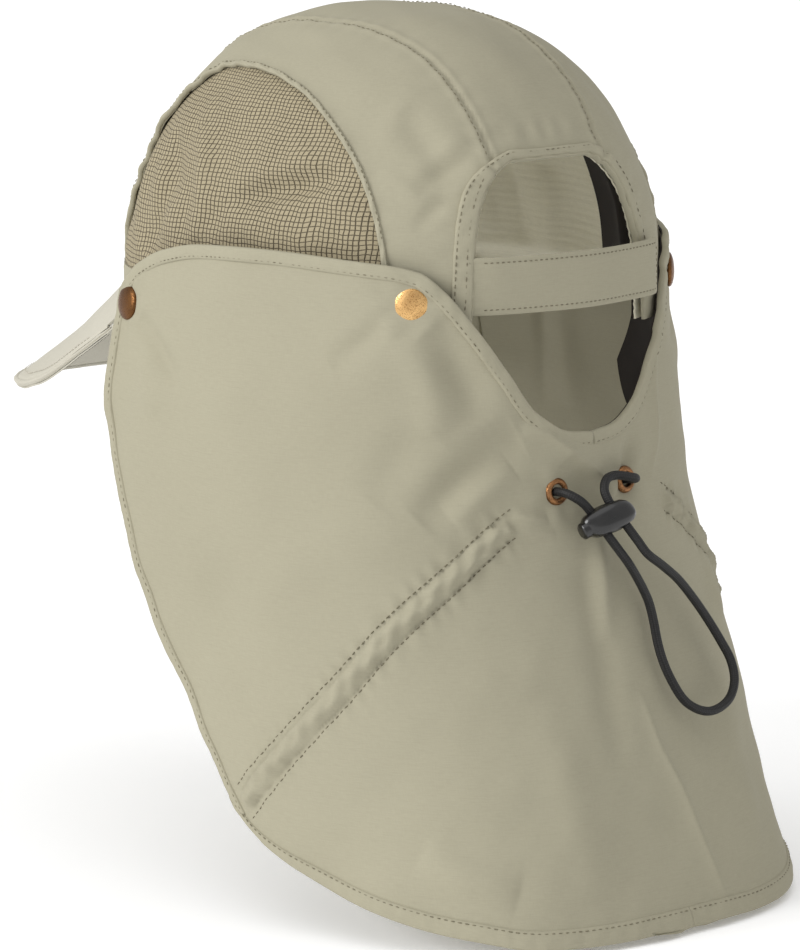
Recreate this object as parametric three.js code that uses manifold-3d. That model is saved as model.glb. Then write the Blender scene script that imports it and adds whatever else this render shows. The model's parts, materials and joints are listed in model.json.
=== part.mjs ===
// A sun cap with a long bill, mesh side windows and a back opening with an adjuster strap, and the neck
// cape that fastens round it. Millimetres. +X is the wearer's left, +Y the back of the head, +Z up, and
// the origin is the middle of the head at the height of the cap's rim.
import * as THREE from 'three';
import { mergeVertices } from 'three/addons/utils/BufferGeometryUtils.js';
import Module from 'manifold-3d';

const { sin, cos, abs, asin, atan2, hypot, max, min, sign, PI } = Math;
const wasm = await Module();
wasm.setup();

// ---------------------------------------------------------------- driving dimensions
const gap = 0.3; // air between pieces that lie on each other
const head = { halfWidth: 83, halfLength: 101, squareness: 2.35, height: 98.5, taper: 0.82, lean: 5 };
const crown = { cloth: 1.5, lining: 0.8, skirt: 9, ribs: 36, rings: 8 };
const seams = { left: 29.5, right: -19.5 }; // the two long seams, as planes across the crown
const sweatband = { thickness: 1.4, top: 3, endGap: 7 };
const opening = { left: 44, right: -36, top: 52.5, shoulder: 27, flat: 18, binding: 8 };
const mesh = { sill: 3, top: 79, front: -84, back: 72, edge: 35 };
const bill = {
  length: 83, halfWidth: 79, back: -61, across: 0.985, rootHalfAngle: 59, rootHeight: -7.3, slope: 0.58,
  arch: 0.0038, archReach: 52, board: 1.6, cover: 0.8, rim: 2.5,
};
const strap = { height: 20, foot: 0.2, cloth: 1.2, rootTab: 7, patch: 0.6, patchLength: 6.5, overlap: 1 };
const cape = { drop: 209, cloth: 1.2, ease: 6, notch: 43, topEdge: 21, hinge: 0.365 };
const binding = { edge: 5, hem: 7, thickness: 1.6 };
const snap = {
  cap: 12.5, capHeight: 2.2, stud: 9.6, socket: 10.6, ring: 1.2, nub: 4.6, shank: 3.6, flange: 0.8, clear: 0.7,
  postReach: 2.8,
};
const snapPlaces = { rear: 0.31, rearHeight: 5, frontInset: 9.5, frontHeight: -6 };
const grommet = { halfSpacing: 17.5, height: -62, outer: 9.8, hole: 5, barrel: 6, flange: 0.8, washer: 0.6 };
const cord = { diameter: 3.2, sides: 8, steps: 46 };
const billSteps = { across: 30, out: 9 };
const casing = { width: 9, height: 4.4, bore: 3.9, start: 0.9, end: 0.14 };
const lock = {
  start: 9.8, end: 10.4, height: 11, thickness: 9.6, squareness: 0.8, holeA: -3.6, holeB: 4.3, hole: 3.9,
};
const button = { diameter: 6, pocket: 6.8, face: 10.9, skirt: 9, spring: 5, wire: 0.7 };

// ---------------------------------------------------------------- colours
const cloth = new THREE.MeshStandardMaterial({ color: 0xb2ad94, roughness: 0.85 });
const meshCloth = new THREE.MeshStandardMaterial({ color: 0xa39a7e, roughness: 0.9 });
const paleCloth = new THREE.MeshStandardMaterial({ color: 0xd9d5c9, roughness: 0.85 });
const board = new THREE.MeshStandardMaterial({ color: 0xe8e6df, roughness: 0.6 });
const towelling = new THREE.MeshStandardMaterial({ color: 0xa8a28a, roughness: 0.95 });
const brass = new THREE.MeshStandardMaterial({ color: 0xb98a4a, roughness: 0.35, metalness: 1 });
const darkBrass = new THREE.MeshStandardMaterial({ color: 0x6e4c2c, roughness: 0.4, metalness: 1 });
const blackCord = new THREE.MeshStandardMaterial({ color: 0x191817, roughness: 0.7 });
const blackPlastic = new THREE.MeshStandardMaterial({ color: 0x121212, roughness: 0.25 });
const steel = new THREE.MeshStandardMaterial({ color: 0xb8b8b8, roughness: 0.3, metalness: 1 });
const hookTape = new THREE.MeshStandardMaterial({ color: 0x8f8a76, roughness: 1 });

const sides = [['left', 1], ['right', -1]];
const object = new THREE.Group();

function add(name, geometry, material, place) {
  const piece = new THREE.Mesh(geometry, material);
  piece.name = name;
  if (place) piece.applyMatrix4(place);
  object.add(piece);
}

// ---------------------------------------------------------------- geometry helpers

/** A smooth curve through [key, value] pairs that never overshoots them. */
function through(points, at) {
  const last = points.length - 1;
  if (at <= points[0][0]) return points[0][1];
  if (at >= points[last][0]) return points[last][1];
  const rise = (i) => (points[i + 1][1] - points[i][1]) / (points[i + 1][0] - points[i][0]);
  const slope = (i) => {
    if (i === 0) return rise(0);
    if (i === last) return rise(last - 1);
    const product = rise(i - 1) * rise(i);
    return product <= 0 ? 0 : (2 * product) / (rise(i - 1) + rise(i));
  };
  let i = 0;
  while (at > points[i + 1][0]) i++;
  const width = points[i + 1][0] - points[i][0];
  const t = (at - points[i][0]) / width;
  const rest = (1 - t) * (1 - t);
  return (
    rest * ((1 + 2 * t) * points[i][1] + t * width * slope(i)) +
    t * t * ((3 - 2 * t) * points[i + 1][1] - (1 - t) * width * slope(i + 1))
  );
}

/** Radius of a rounded oval at an angle that is 0 at the back and turns towards the wearer's left. */
function oval(angle, halfWidth, halfLength, squareness) {
  const x = (abs(sin(angle)) / halfWidth) ** squareness;
  const y = (abs(cos(angle)) / halfLength) ** squareness;
  return (x + y) ** (-1 / squareness);
}

function geometryFrom(positions, triangles) {
  const geometry = new THREE.BufferGeometry();
  geometry.setAttribute('position', new THREE.Float32BufferAttribute(positions, 3));
  geometry.setIndex(triangles);
  if (volume(positions, triangles) < 0) geometry.setIndex([...triangles].reverse());
  return geometry;
}

function volume(positions, triangles) {
  const corner = (i) => new THREE.Vector3().fromArray(positions, 3 * i);
  let sum = 0;
  for (let i = 0; i < triangles.length; i += 3) {
    const [a, b, c] = [0, 1, 2].map((k) => corner(triangles[i + k]));
    sum += a.dot(b.cross(c));
  }
  return sum;
}

/** A closed skin between two patches, each a function of two shares from 0 to 1. */
function skin(outside, inside, columns, rows) {
  const positions = [];
  const triangles = [];
  for (const patch of [outside, inside]) {
    for (let j = 0; j <= rows; j++) {
      for (let i = 0; i <= columns; i++) positions.push(...patch(i / columns, j / rows).toArray());
    }
  }
  const at = (side, i, j) => (side * (rows + 1) + j) * (columns + 1) + i;
  const quad = (a, b, c, d) => triangles.push(a, b, c, a, c, d);
  for (let j = 0; j < rows; j++) {
    for (let i = 0; i < columns; i++) {
      quad(at(0, i, j), at(0, i + 1, j), at(0, i + 1, j + 1), at(0, i, j + 1));
      quad(at(1, i, j), at(1, i, j + 1), at(1, i + 1, j + 1), at(1, i + 1, j));
    }
    quad(at(0, 0, j + 1), at(1, 0, j + 1), at(1, 0, j), at(0, 0, j));
    quad(at(0, columns, j), at(1, columns, j), at(1, columns, j + 1), at(0, columns, j + 1));
  }
  for (let i = 0; i < columns; i++) {
    quad(at(0, i, 0), at(1, i, 0), at(1, i + 1, 0), at(0, i + 1, 0));
    quad(at(0, i + 1, rows), at(1, i + 1, rows), at(1, i, rows), at(0, i, rows));
  }
  return geometryFrom(positions, triangles);
}

/** A section carried along points. Each frame is {at, side, up}; a bore makes it a tube. */
function sweep(frames, section, bore) {
  const positions = [];
  const triangles = [];
  const rings = bore ? [section, bore] : [section];
  const count = section.length;
  for (const ring of rings) {
    for (const { at, side, up } of frames) {
      for (const [a, b] of ring) {
        positions.push(...at.clone().addScaledVector(side, a).addScaledVector(up, b).toArray());
      }
    }
  }
  const id = (ring, frame, i) => (ring * frames.length + frame) * count + (i % count);
  const quad = (a, b, c, d) => triangles.push(a, b, c, a, c, d);
  const last = frames.length - 1;
  for (let i = 0; i < count; i++) {
    for (let f = 0; f < last; f++) {
      quad(id(0, f, i), id(0, f, i + 1), id(0, f + 1, i + 1), id(0, f + 1, i));
      if (bore) quad(id(1, f, i), id(1, f + 1, i), id(1, f + 1, i + 1), id(1, f, i + 1));
    }
    if (bore) {
      quad(id(0, 0, i), id(1, 0, i), id(1, 0, i + 1), id(0, 0, i + 1));
      quad(id(0, last, i + 1), id(1, last, i + 1), id(1, last, i), id(0, last, i));
    } else if (i > 0 && i < count - 1) {
      triangles.push(id(0, 0, 0), id(0, 0, i + 1), id(0, 0, i));
      triangles.push(id(0, last, 0), id(0, last, i), id(0, last, i + 1));
    }
  }
  return geometryFrom(positions, triangles);
}

function circle(radius, sides) {
  return Array.from({ length: sides }, (_, i) => {
    const angle = (2 * PI * i) / sides;
    return [radius * cos(angle), radius * sin(angle)];
  });
}

/** A flat six-cornered section. */
function flatHexagon(width, height) {
  const w = width / 2;
  const h = height / 2;
  return [[w, 0], [w - h, h], [h - w, h], [-w, 0], [h - w, -h], [w - h, -h]];
}

/** A geometry with nothing but its places, shared by the faces that meet there. */
function bare(geometry) {
  const places = geometry.clone();
  places.deleteAttribute('normal');
  places.deleteAttribute('uv');
  return mergeVertices(places, 1e-4);
}

function solid(geometry) {
  const merged = bare(geometry);
  const vertProperties = merged.attributes.position.array;
  const triVerts = new Uint32Array(merged.index.array);
  return new wasm.Manifold(new wasm.Mesh({ numProp: 3, vertProperties, triVerts }));
}

function geometryOf(body) {
  const { vertProperties, triVerts } = body.getMesh();
  const geometry = new THREE.BufferGeometry();
  geometry.setAttribute('position', new THREE.BufferAttribute(vertProperties, 3));
  geometry.setIndex(new THREE.BufferAttribute(triVerts, 1));
  return geometry;
}

const X = new THREE.Vector3(1, 0, 0);
const Y = new THREE.Vector3(0, 1, 0);
const Z = new THREE.Vector3(0, 0, 1);

const pushed = (outline, depth) =>
  new THREE.ExtrudeGeometry(outline, { depth, bevelEnabled: false, curveSegments: 6 });

/** An outline drawn in the Y and Z of the object, pushed through it along X. */
function throughX(outline, from, to) {
  const geometry = pushed(outline, to - from);
  geometry.applyMatrix4(new THREE.Matrix4().makeBasis(Y, Z, X).setPosition(from, 0, 0));
  return solid(geometry);
}

/** An outline drawn in the X and Z of the object, pushed through it along Y. */
function throughY(outline, from, to) {
  const geometry = pushed(outline, to - from);
  geometry.applyMatrix4(new THREE.Matrix4().makeBasis(X, Z, Y.clone().negate()).setPosition(0, to, 0));
  return solid(geometry);
}

function rectangle(left, right, bottom, top) {
  const corners = [[left, bottom], [right, bottom], [right, top], [left, top]];
  return new THREE.Shape(corners.map((corner) => new THREE.Vector2(...corner)));
}

const slab = (fromX, toX) => throughX(rectangle(-150, 150, -60, 150), fromX, toX);

/** Places a piece made round its own Z axis so that the axis points along a direction. */
function placed(at, direction) {
  const turn = new THREE.Quaternion().setFromUnitVectors(Z, direction);
  return new THREE.Matrix4().compose(at, turn, new THREE.Vector3(1, 1, 1));
}

/** A solid of revolution from [radius, height] corners. */
function turned(corners, segments) {
  const points = corners.map(([radius, height]) => new THREE.Vector2(radius, height));
  const lathe = new THREE.LatheGeometry([...points, points[0]], segments).rotateX(PI / 2);
  const { attributes, index } = bare(lathe);
  return geometryFrom([...attributes.position.array], [...index.array]);
}

function drill(at, direction, radius, reach) {
  const geometry = new THREE.CylinderGeometry(radius, radius, reach, 12).rotateX(PI / 2);
  return solid(geometry.applyMatrix4(placed(at, direction)));
}

// ---------------------------------------------------------------- the crown's surface

/** A point of the crown, inwards from its outside by a depth; rise is 0 at the rim and PI / 2 on top. */
function crownPoint(angle, rise, depth) {
  const rim = oval(angle, head.halfWidth - depth, head.halfLength - depth, head.squareness);
  const radius = rim * max(cos(rise), 0) ** head.taper;
  const y = radius * cos(angle) + head.lean * sin(rise);
  return new THREE.Vector3(radius * sin(angle), y, (head.height - depth) * sin(rise));
}

/** The rise at which the crown reaches a height. */
const riseAt = (z) => asin(z / head.height);

/** The crown as a closed dome, inwards by a depth, with its skirt down to a height. */
function dome(depth, bottom) {
  const positions = [];
  const triangles = [];
  const ringRises = [-1, ...Array.from({ length: crown.rings }, (_, j) => ((PI / 2) * j) / crown.rings)];
  for (const rise of ringRises) {
    for (let i = 0; i < crown.ribs; i++) {
      const point = crownPoint((2 * PI * i) / crown.ribs, max(rise, 0), depth);
      if (rise < 0) point.z = bottom;
      positions.push(...point.toArray());
    }
  }
  const top = ringRises.length * crown.ribs;
  positions.push(...crownPoint(0, PI / 2, depth).toArray(), 0, 0, bottom);
  const at = (ring, i) => ring * crown.ribs + (i % crown.ribs);
  for (let i = 0; i < crown.ribs; i++) {
    for (let ring = 0; ring < ringRises.length - 1; ring++) {
      triangles.push(at(ring, i), at(ring, i + 1), at(ring + 1, i + 1));
      triangles.push(at(ring, i), at(ring + 1, i + 1), at(ring + 1, i));
    }
    triangles.push(at(ringRises.length - 1, i), at(ringRises.length - 1, i + 1), top);
    triangles.push(at(0, i + 1), at(0, i), top + 1);
  }
  return solid(geometryFrom(positions, triangles));
}

/** One layer of the crown, from one depth to another. */
function layer(from, to, bottom = -crown.skirt) {
  return dome(from, bottom).subtract(dome(to, bottom - 5));
}

/** The back opening's outline, widened by a margin. */
function openingOutline(margin) {
  const shape = new THREE.Shape();
  const left = opening.left + margin;
  const right = opening.right - margin;
  const top = opening.top + margin;
  const middle = (opening.left + opening.right) / 2;
  shape.moveTo(left, -60);
  shape.lineTo(left - 1, opening.shoulder * 0.4);
  shape.quadraticCurveTo(left - 3, top - 6, middle + opening.flat, top);
  shape.lineTo(middle - opening.flat, top);
  shape.quadraticCurveTo(right + 4, top - 8, right + 1, opening.shoulder * 0.4);
  shape.lineTo(right, -60);
  shape.closePath();
  return shape;
}

const backOpening = (margin) => throughY(openingOutline(margin), 20, 160);

/** The mesh window's outline seen from the side, widened by a margin. */
function meshOutline(margin) {
  const { sill, top, front, back } = mesh;
  const shape = new THREE.Shape();
  shape.moveTo(front - margin, sill - margin);
  shape.quadraticCurveTo(front + 14 - margin, top * 0.75, -30, top - 2 + margin);
  shape.quadraticCurveTo(-6, top + 3 + margin, 24, top - 7 + margin);
  shape.quadraticCurveTo(back - 2 + margin, top * 0.66 + margin, back + margin, sill - margin);
  shape.closePath();
  return shape;
}

function meshWindow(side, margin) {
  const [from, to] = side > 0 ? [mesh.edge, 120] : [-120, -mesh.edge];
  return throughX(meshOutline(margin), from, to);
}

// ---------------------------------------------------------------- the cape's surface

// Down the cape as shares of its drop: how far the section's middle moves back, and how far it stands
// off the head at the sides, the back and the front.
const capeMiddle = [[-0.14, 0], [0, 0], [0.19, 1], [0.3, 3], [0.48, 13], [0.72, 32], [0.91, 45], [1, 51]];
const capeSide = [[-0.14, -1], [0, 0], [0.19, 6], [0.3, 8], [0.48, 11], [0.72, 14], [1, 15]];
const capeBack = [[-0.14, -4], [0, -3], [0.3, -3], [0.72, 0], [1, 4]];
const capeFront = [[-0.14, 13], [0, 15], [0.19, 27], [0.48, 31], [0.72, 28], [1, 20]];
const frontEdge = [
  [-0.14, -45], [0, -50], [0.19, -52], [0.3, -43], [0.48, -22], [0.72, 15], [0.91, 50], [1, 57],
];

// Along the girth as shares of half of it: how far the top edge rises from the notch, and the hem from
// its lowest place.
const topLine = [
  [0, 0], [0.05, 0.02], [0.11, 0.14], [0.16, 0.38], [0.21, 0.62], [0.26, 0.82], [0.3, 0.92], [0.36, 0.96],
  [0.6, 1], [0.76, 0.975], [0.87, 0.91], [0.95, 0.8], [1, 0.64],
];
const hemLine = [
  [0, 0], [0.2, -0.005], [0.35, -0.002], [0.5, 0.015], [0.62, 0.029], [0.75, 0.053], [0.87, 0.086],
  [0.95, 0.12], [1, 0.167],
];

function capeSection(z) {
  const share = -z / cape.drop;
  return {
    middle: through(capeMiddle, share),
    halfWidth: head.halfWidth + cape.ease + through(capeSide, share),
    back: head.halfLength + cape.ease + through(capeBack, share),
    front: head.halfLength + cape.ease + through(capeFront, share),
  };
}

/** The angle of the cape's front edge at a height. */
function frontAngle(z) {
  const { middle, halfWidth, back, front } = capeSection(z);
  const y = through(frontEdge, -z / cape.drop) - middle;
  const reach = y < 0 ? front : back;
  const x = halfWidth * (1 - (abs(y) / reach) ** head.squareness) ** (1 / head.squareness);
  return atan2(x, y);
}

/** A point of the cape: share is 0 at the centre back and 1 or -1 at a front edge. */
function capePoint(share, z, depth = 0) {
  const { middle, halfWidth, back, front } = capeSection(z);
  const angle = share * frontAngle(z);
  const radius = oval(angle, halfWidth, cos(angle) < 0 ? front : back, head.squareness) - depth;
  return new THREE.Vector3(radius * sin(angle), middle + radius * cos(angle), z);
}

function capeNormal(share, z) {
  const step = 0.01;
  const across = capePoint(share + step, z).sub(capePoint(share - step, z));
  const down = capePoint(share, z - 1).sub(capePoint(share, z + 1));
  return across.cross(down).normalize();
}

const topOf = (share) => -cape.notch + (cape.notch + cape.topEdge) * through(topLine, abs(share));
const hemOf = (share) => -cape.drop + cape.drop * through(hemLine, abs(share));

/** How much of the half girth a length along the cape takes, at the height of the notch. */
let halfGirth = 0;
for (let i = 0; i < 40; i++) {
  const start = capePoint(i / 40, -cape.notch);
  halfGirth += start.distanceTo(capePoint((i + 1) / 40, -cape.notch));
}
const shareOf = (length) => length / halfGirth;

/** A stretch of the cape between two shares of its girth and between two lines. */
function capeStretch(from, to, low, high, thickness, columns, rows) {
  const patch = (depth) => (i, j) => {
    const share = from + (to - from) * i;
    return capePoint(share, low(share) + (high(share) - low(share)) * j, depth);
  };
  const proud = (thickness - cape.cloth) / 2;
  return skin(patch(-proud), patch(cape.cloth + proud), columns, rows);
}

// ---------------------------------------------------------------- snaps

/** Where each snap sits: a point on the cape's outside, the way out, and the air behind the cape. */
function snapSeat(share, z) {
  const at = capePoint(share, z);
  const out = capeNormal(share, z);
  let air = cape.cloth;
  const crownAt = ({ x, y }) => oval(atan2(x, y), head.halfWidth, head.halfLength, head.squareness);
  const outsideCrown = (point) => hypot(point.x, point.y) > crownAt(point);
  while (outsideCrown(at.clone().addScaledVector(out, -air)) && air < 20) air += 0.1;
  return { at, out, toCrown: air };
}

const frontShare = 1 - shareOf(snapPlaces.frontInset);
const snapSeats = {};
for (const [side, way] of sides) {
  snapSeats[`rear_${side}`] = snapSeat(way * snapPlaces.rear, snapPlaces.rearHeight);
  snapSeats[`front_${side}`] = snapSeat(way * frontShare, snapPlaces.frontHeight);
}
const linerDepth = crown.cloth + gap + crown.lining;
const bandDepth = linerDepth + gap;
const insideBand = bandDepth + sweatband.thickness;

const snapHoles = Object.values(snapSeats).map(({ at, out, toCrown }) =>
  drill(at.clone().addScaledVector(out, -toCrown), out, snap.shank / 2 + 0.5, 24));
const withSnapHoles = (body) => snapHoles.reduce((rest, hole) => rest.subtract(hole), body);

for (const [name, { at, out, toCrown }] of Object.entries(snapSeats)) {
  const r = (diameter) => diameter / 2;
  const socketTop = -cape.cloth - snap.clear;
  const socketFoot = socketTop - snap.ring;
  const studFoot = -toCrown + snap.clear;
  const postFoot = -toCrown - insideBand - snap.postReach;
  const nubTop = socketFoot + snap.ring - 0.2;
  const mouth = r(snap.nub) + gap * 2;
  const place = placed(at, out);
  const capFoot = snap.clear;
  const capLine = [
    [0, capFoot + snap.capHeight], [r(snap.cap) * 0.6, capFoot + snap.capHeight * 0.85],
    [r(snap.cap), capFoot + 0.4], [r(snap.cap) - 0.3, capFoot], [r(snap.shank), capFoot],
    [r(snap.shank), socketTop + gap], [0, socketTop + gap],
  ];
  const socketLine = [
    [mouth, socketFoot], [r(snap.socket), socketFoot], [r(snap.socket), socketTop], [mouth, socketTop],
  ];
  const studLine = [
    [0, nubTop], [r(snap.nub), nubTop - 0.3], [r(snap.nub), studFoot + snap.flange],
    [r(snap.stud), studFoot + snap.flange], [r(snap.stud), studFoot], [0, studFoot],
  ];
  const postLine = [
    [0, studFoot - gap], [r(snap.shank), studFoot - gap], [r(snap.shank), postFoot + snap.flange],
    [r(snap.stud), postFoot + snap.flange], [r(snap.stud), postFoot], [0, postFoot],
  ];
  add(`snap_cap_${name}`, turned(capLine, 14), brass, place);
  add(`snap_socket_${name}`, turned(socketLine, 12), darkBrass, place);
  add(`snap_stud_${name}`, turned(studLine, 12), darkBrass, place);
  add(`snap_post_${name}`, turned(postLine, 12), darkBrass, place);
}

// ---------------------------------------------------------------- crown pieces

const shell = withSnapHoles(layer(0, crown.cloth).subtract(backOpening(opening.binding + gap)));
const halfGap = gap / 2;
const betweenSeams = slab(seams.right + halfGap, seams.left - halfGap);
add('crown_centre_panel', geometryOf(shell.intersect(betweenSeams)), cloth);
const halves = { left: slab(seams.left + halfGap, 150), right: slab(-150, seams.right - halfGap) };
for (const [side, way] of sides) {
  const half = shell.intersect(halves[side]);
  add(`crown_side_panel_${side}`, geometryOf(half.subtract(meshWindow(way, gap))), cloth);
  add(`mesh_panel_${side}`, geometryOf(half.intersect(meshWindow(way, 0))), meshCloth);
}
const bindingRing = layer(0, crown.cloth).intersect(backOpening(opening.binding)).subtract(backOpening(0));
add('opening_binding', geometryOf(bindingRing), cloth);

const lining = layer(crown.cloth + gap, linerDepth).subtract(backOpening(gap));
add('crown_lining', geometryOf(withSnapHoles(lining)), cloth);

/** An upright band round the inside of the crown, between two angles and two heights. */
function band(from, to, low, high, outer, thickness, columns) {
  const patch = (depth) => (i, j) => {
    const z = low + (high - low) * j;
    return crownPoint(from + (to - from) * i, riseAt(max(z, 0)), depth).setZ(z);
  };
  return skin(patch(outer), patch(outer + thickness), columns, 1);
}

const openingAngle = (x) => asin(x / oval(0, head.halfWidth, head.halfLength, head.squareness));
const leftEdge = openingAngle(opening.left);
const rightEdge = openingAngle(opening.right);
const belowBandTop = throughY(rectangle(-150, 150, -60, sweatband.top), -150, 150);
const sweatLayer = layer(bandDepth, insideBand).intersect(belowBandTop);
const sweat = sweatLayer.subtract(backOpening(sweatband.endGap));
add('sweatband', geometryOf(withSnapHoles(sweat)), towelling);

// ---------------------------------------------------------------- bill

/** A point of the bill: across runs from -1 to 1, out from 0 at the crown to 1 at the edge. */
function billPoint(across, out, lift) {
  const angle = PI - across * (bill.rootHalfAngle * PI) / 180;
  const rootDepth = -gap * 2;
  const root = crownPoint(angle, 0, rootDepth);
  const front = head.halfLength + bill.length + bill.back;
  const edgeX = bill.halfWidth * sin((across * PI) / 2);
  const edgeY = bill.back - front * cos((across * PI) / 2);
  const x = root.x + (edgeX - root.x) * out;
  const y = root.y + (edgeY - root.y) * out;
  const reach = hypot(x, y) - oval(atan2(x, y), head.halfWidth, head.halfLength, head.squareness);
  const arching = min(max(reach, 0) / bill.archReach, 1);
  const drop = bill.slope * reach + bill.arch * x * x * arching * (2 - arching);
  return new THREE.Vector3(x, y, bill.rootHeight - drop + lift);
}

function billLayer(bottom, top, rim) {
  const end = bill.across - rim / bill.halfWidth;
  const patch = (lift) => (i, j) => billPoint((2 * i - 1) * end, j * (1 - rim / bill.length), lift);
  return skin(patch(top), patch(bottom), billSteps.across, billSteps.out);
}

const boardHalf = bill.board / 2;
const coverFoot = boardHalf + gap * 1.4;
add('bill_board', billLayer(-boardHalf, boardHalf, bill.rim), board);
add('bill_top_cover', billLayer(coverFoot, coverFoot + bill.cover, 0), paleCloth);
add('bill_under_cover', billLayer(-coverFoot - bill.cover, -coverFoot, 0), cloth);

// ---------------------------------------------------------------- adjuster strap

// The strap leaves the left band flush with the crown and ends lying on the right band.
const strapLeft = leftEdge - 0.035;
const strapRight = rightEdge - strap.overlap / head.halfLength - strap.patchLength / head.halfLength;
const patchOut = gap + strap.patch;
const restOut = patchOut + gap + strap.patch + gap;

/** Depth of the strap's inside face along its length; negative stands off the crown. */
function strapDepth(share) {
  const lifted = through([[0, 0], [0.15, 0], [0.75, 1], [1, 1]], share);
  return crown.cloth - (crown.cloth + restOut) * lifted;
}

function strapPatch(extra) {
  return (i, j) => {
    const z = strap.foot + strap.height * j;
    const angle = strapLeft + (strapRight - strapLeft) * i;
    return crownPoint(angle, riseAt(z), strapDepth(i) - extra).setZ(z);
  };
}
add('adjuster_strap', skin(strapPatch(strap.cloth), strapPatch(0), 14, 1), cloth);
const tabFrom = strapLeft + 0.006;
const tabTo = tabFrom + strap.rootTab / head.halfLength + 0.03;
const tab = band(tabFrom, tabTo, strap.foot, strap.height, insideBand + gap, strap.cloth, 3);
add('strap_root_tab', tab, cloth);
const patchFrom = rightEdge - 0.025;
const patchTo = strapRight + 0.01;
const patchInset = 2;
const patchBand = (outer) =>
  band(patchTo, patchFrom, patchInset, strap.height - patchInset, outer, strap.patch, 3);
add('strap_loop_patch', patchBand(-gap - strap.patch), hookTape);
add('strap_hook_patch', patchBand(-patchOut - gap - strap.patch), hookTape);

// ---------------------------------------------------------------- cape pieces

const columns = { back: 22, wing: 15 };
const hingeClear = shareOf(gap) * 1.6;
const frontStop = 1 - shareOf(binding.edge + gap * 3);
const hemTop = (share) => hemOf(share) + binding.hem;
const hemLimit = (share) => hemTop(share) + gap;
const topBottom = (share) => topOf(share) - binding.edge;
const topLimit = (share) => topBottom(share) - gap;

const grommetShare = asin(grommet.halfSpacing / capePoint(0, grommet.height).y) / frontAngle(grommet.height);
const grommetSeats = sides.map(([side, way]) => {
  const share = way * grommetShare;
  return { side, at: capePoint(share, grommet.height), out: capeNormal(share, grommet.height) };
});

const drilled = (body, seats, radius) =>
  seats.reduce((rest, { at, out }) => rest.subtract(drill(at, out, radius, 12)), body);
const rearSnaps = [snapSeats.rear_left, snapSeats.rear_right];
const capHole = snap.shank / 2 + gap;
const backStretch = capeStretch(-cape.hinge, cape.hinge, hemLimit, topLimit, cape.cloth, columns.back, 8);
const backPanel = solid(backStretch);
const drilledBack = drilled(drilled(backPanel, grommetSeats, grommet.barrel / 2 + gap), rearSnaps, capHole);
add('cape_back_panel', geometryOf(drilledBack), cloth);
const boundStretch = (from, to, low, high, count, rows) =>
  capeStretch(from, to, low, high, binding.thickness, count, rows);
add('hem_binding_back', boundStretch(-cape.hinge, cape.hinge, hemOf, hemTop, columns.back, 1), cloth);
add('top_binding_back', boundStretch(-cape.hinge, cape.hinge, topBottom, topOf, columns.back, 1), cloth);

// The casing and the cord in it run on the cape's inside from a front corner up to a grommet.
const casingLine = [
  [0.08, -62], [0.18, -72], [0.3, -88], [0.41, -103], [0.58, -128], [0.8, -155], [0.95, -170],
];
const casingDepth = cape.cloth + gap * 2.5 + casing.height / 2;

function casingFrames(from, to, way, steps) {
  const at = (share) => capePoint(way * share, through(casingLine, share), casingDepth);
  return Array.from({ length: steps + 1 }, (_, i) => {
    const share = from + ((to - from) * i) / steps;
    const up = capeNormal(way * share, through(casingLine, share));
    const along = at(share + 0.01).sub(at(share - 0.01)).normalize();
    const side = along.clone().cross(up).normalize();
    return { at: at(share), side, up: side.clone().cross(along).normalize() };
  });
}

const casingSection = flatHexagon(casing.width, casing.height);
const casingBore = circle(casing.bore / 2, 6);
const cordSection = circle(cord.diameter / 2, 6);

for (const [side, way] of sides) {
  const hinge = way * (cape.hinge + hingeClear);
  const panelEnd = way * frontStop;
  const wing = solid(capeStretch(hinge, panelEnd, hemLimit, topLimit, cape.cloth, columns.wing, 8));
  const frontSnap = snapSeats[`front_${side}`];
  add(`cape_wing_${side}`, geometryOf(drilled(wing, [frontSnap], capHole)), cloth);
  add(`hem_binding_${side}`, boundStretch(hinge, panelEnd, hemOf, hemTop, columns.wing, 1), cloth);
  add(`top_binding_${side}`, boundStretch(hinge, panelEnd, topBottom, topOf, columns.wing, 1), cloth);
  const frontInside = way * (1 - shareOf(binding.edge));
  add(`front_binding_${side}`, boundStretch(frontInside, way, hemOf, topOf, 1, 8), cloth);
  const ahead = cape.hinge + hingeClear * 3;
  const behind = cape.hinge - hingeClear * 3;
  const wingCasing = casingFrames(ahead, casing.start, way, 8);
  const backCasing = casingFrames(casing.end, behind, way, 4);
  const wingCord = casingFrames(ahead, casing.start - 0.01, way, 8);
  const backCord = casingFrames(grommetShare + shareOf(6), behind, way, 4);
  add(`casing_wing_${side}`, sweep(wingCasing, casingSection, casingBore), cloth);
  add(`casing_back_${side}`, sweep(backCasing, casingSection, casingBore), cloth);
  add(`drawcord_wing_${side}`, sweep(wingCord, cordSection), blackCord);
  add(`drawcord_back_${side}`, sweep(backCord, cordSection), blackCord);
}

// ---------------------------------------------------------------- grommets, cord loop and lock

for (const { side, at, out } of grommetSeats) {
  const hole = grommet.hole / 2;
  const barrel = grommet.barrel / 2;
  const outer = grommet.outer / 2;
  const seat = gap * 2;
  const lip = grommet.flange + seat;
  const washerTop = -cape.cloth - gap;
  const washerFoot = washerTop - grommet.washer;
  const ringLine = [
    [hole, lip * 0.8], [hole + 0.9, lip], [outer - 0.7, lip * 0.9], [outer, seat], [barrel, seat],
    [barrel, washerFoot - gap], [hole, washerFoot - gap],
  ];
  const washerLine = [
    [barrel + gap, washerFoot], [outer - 0.3, washerFoot], [outer - 0.3, washerTop],
    [barrel + gap, washerTop],
  ];
  add(`grommet_${side}`, turned(ringLine, 14), brass, placed(at, out));
  add(`grommet_washer_${side}`, turned(washerLine, 14), brass, placed(at, out));
}

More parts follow.
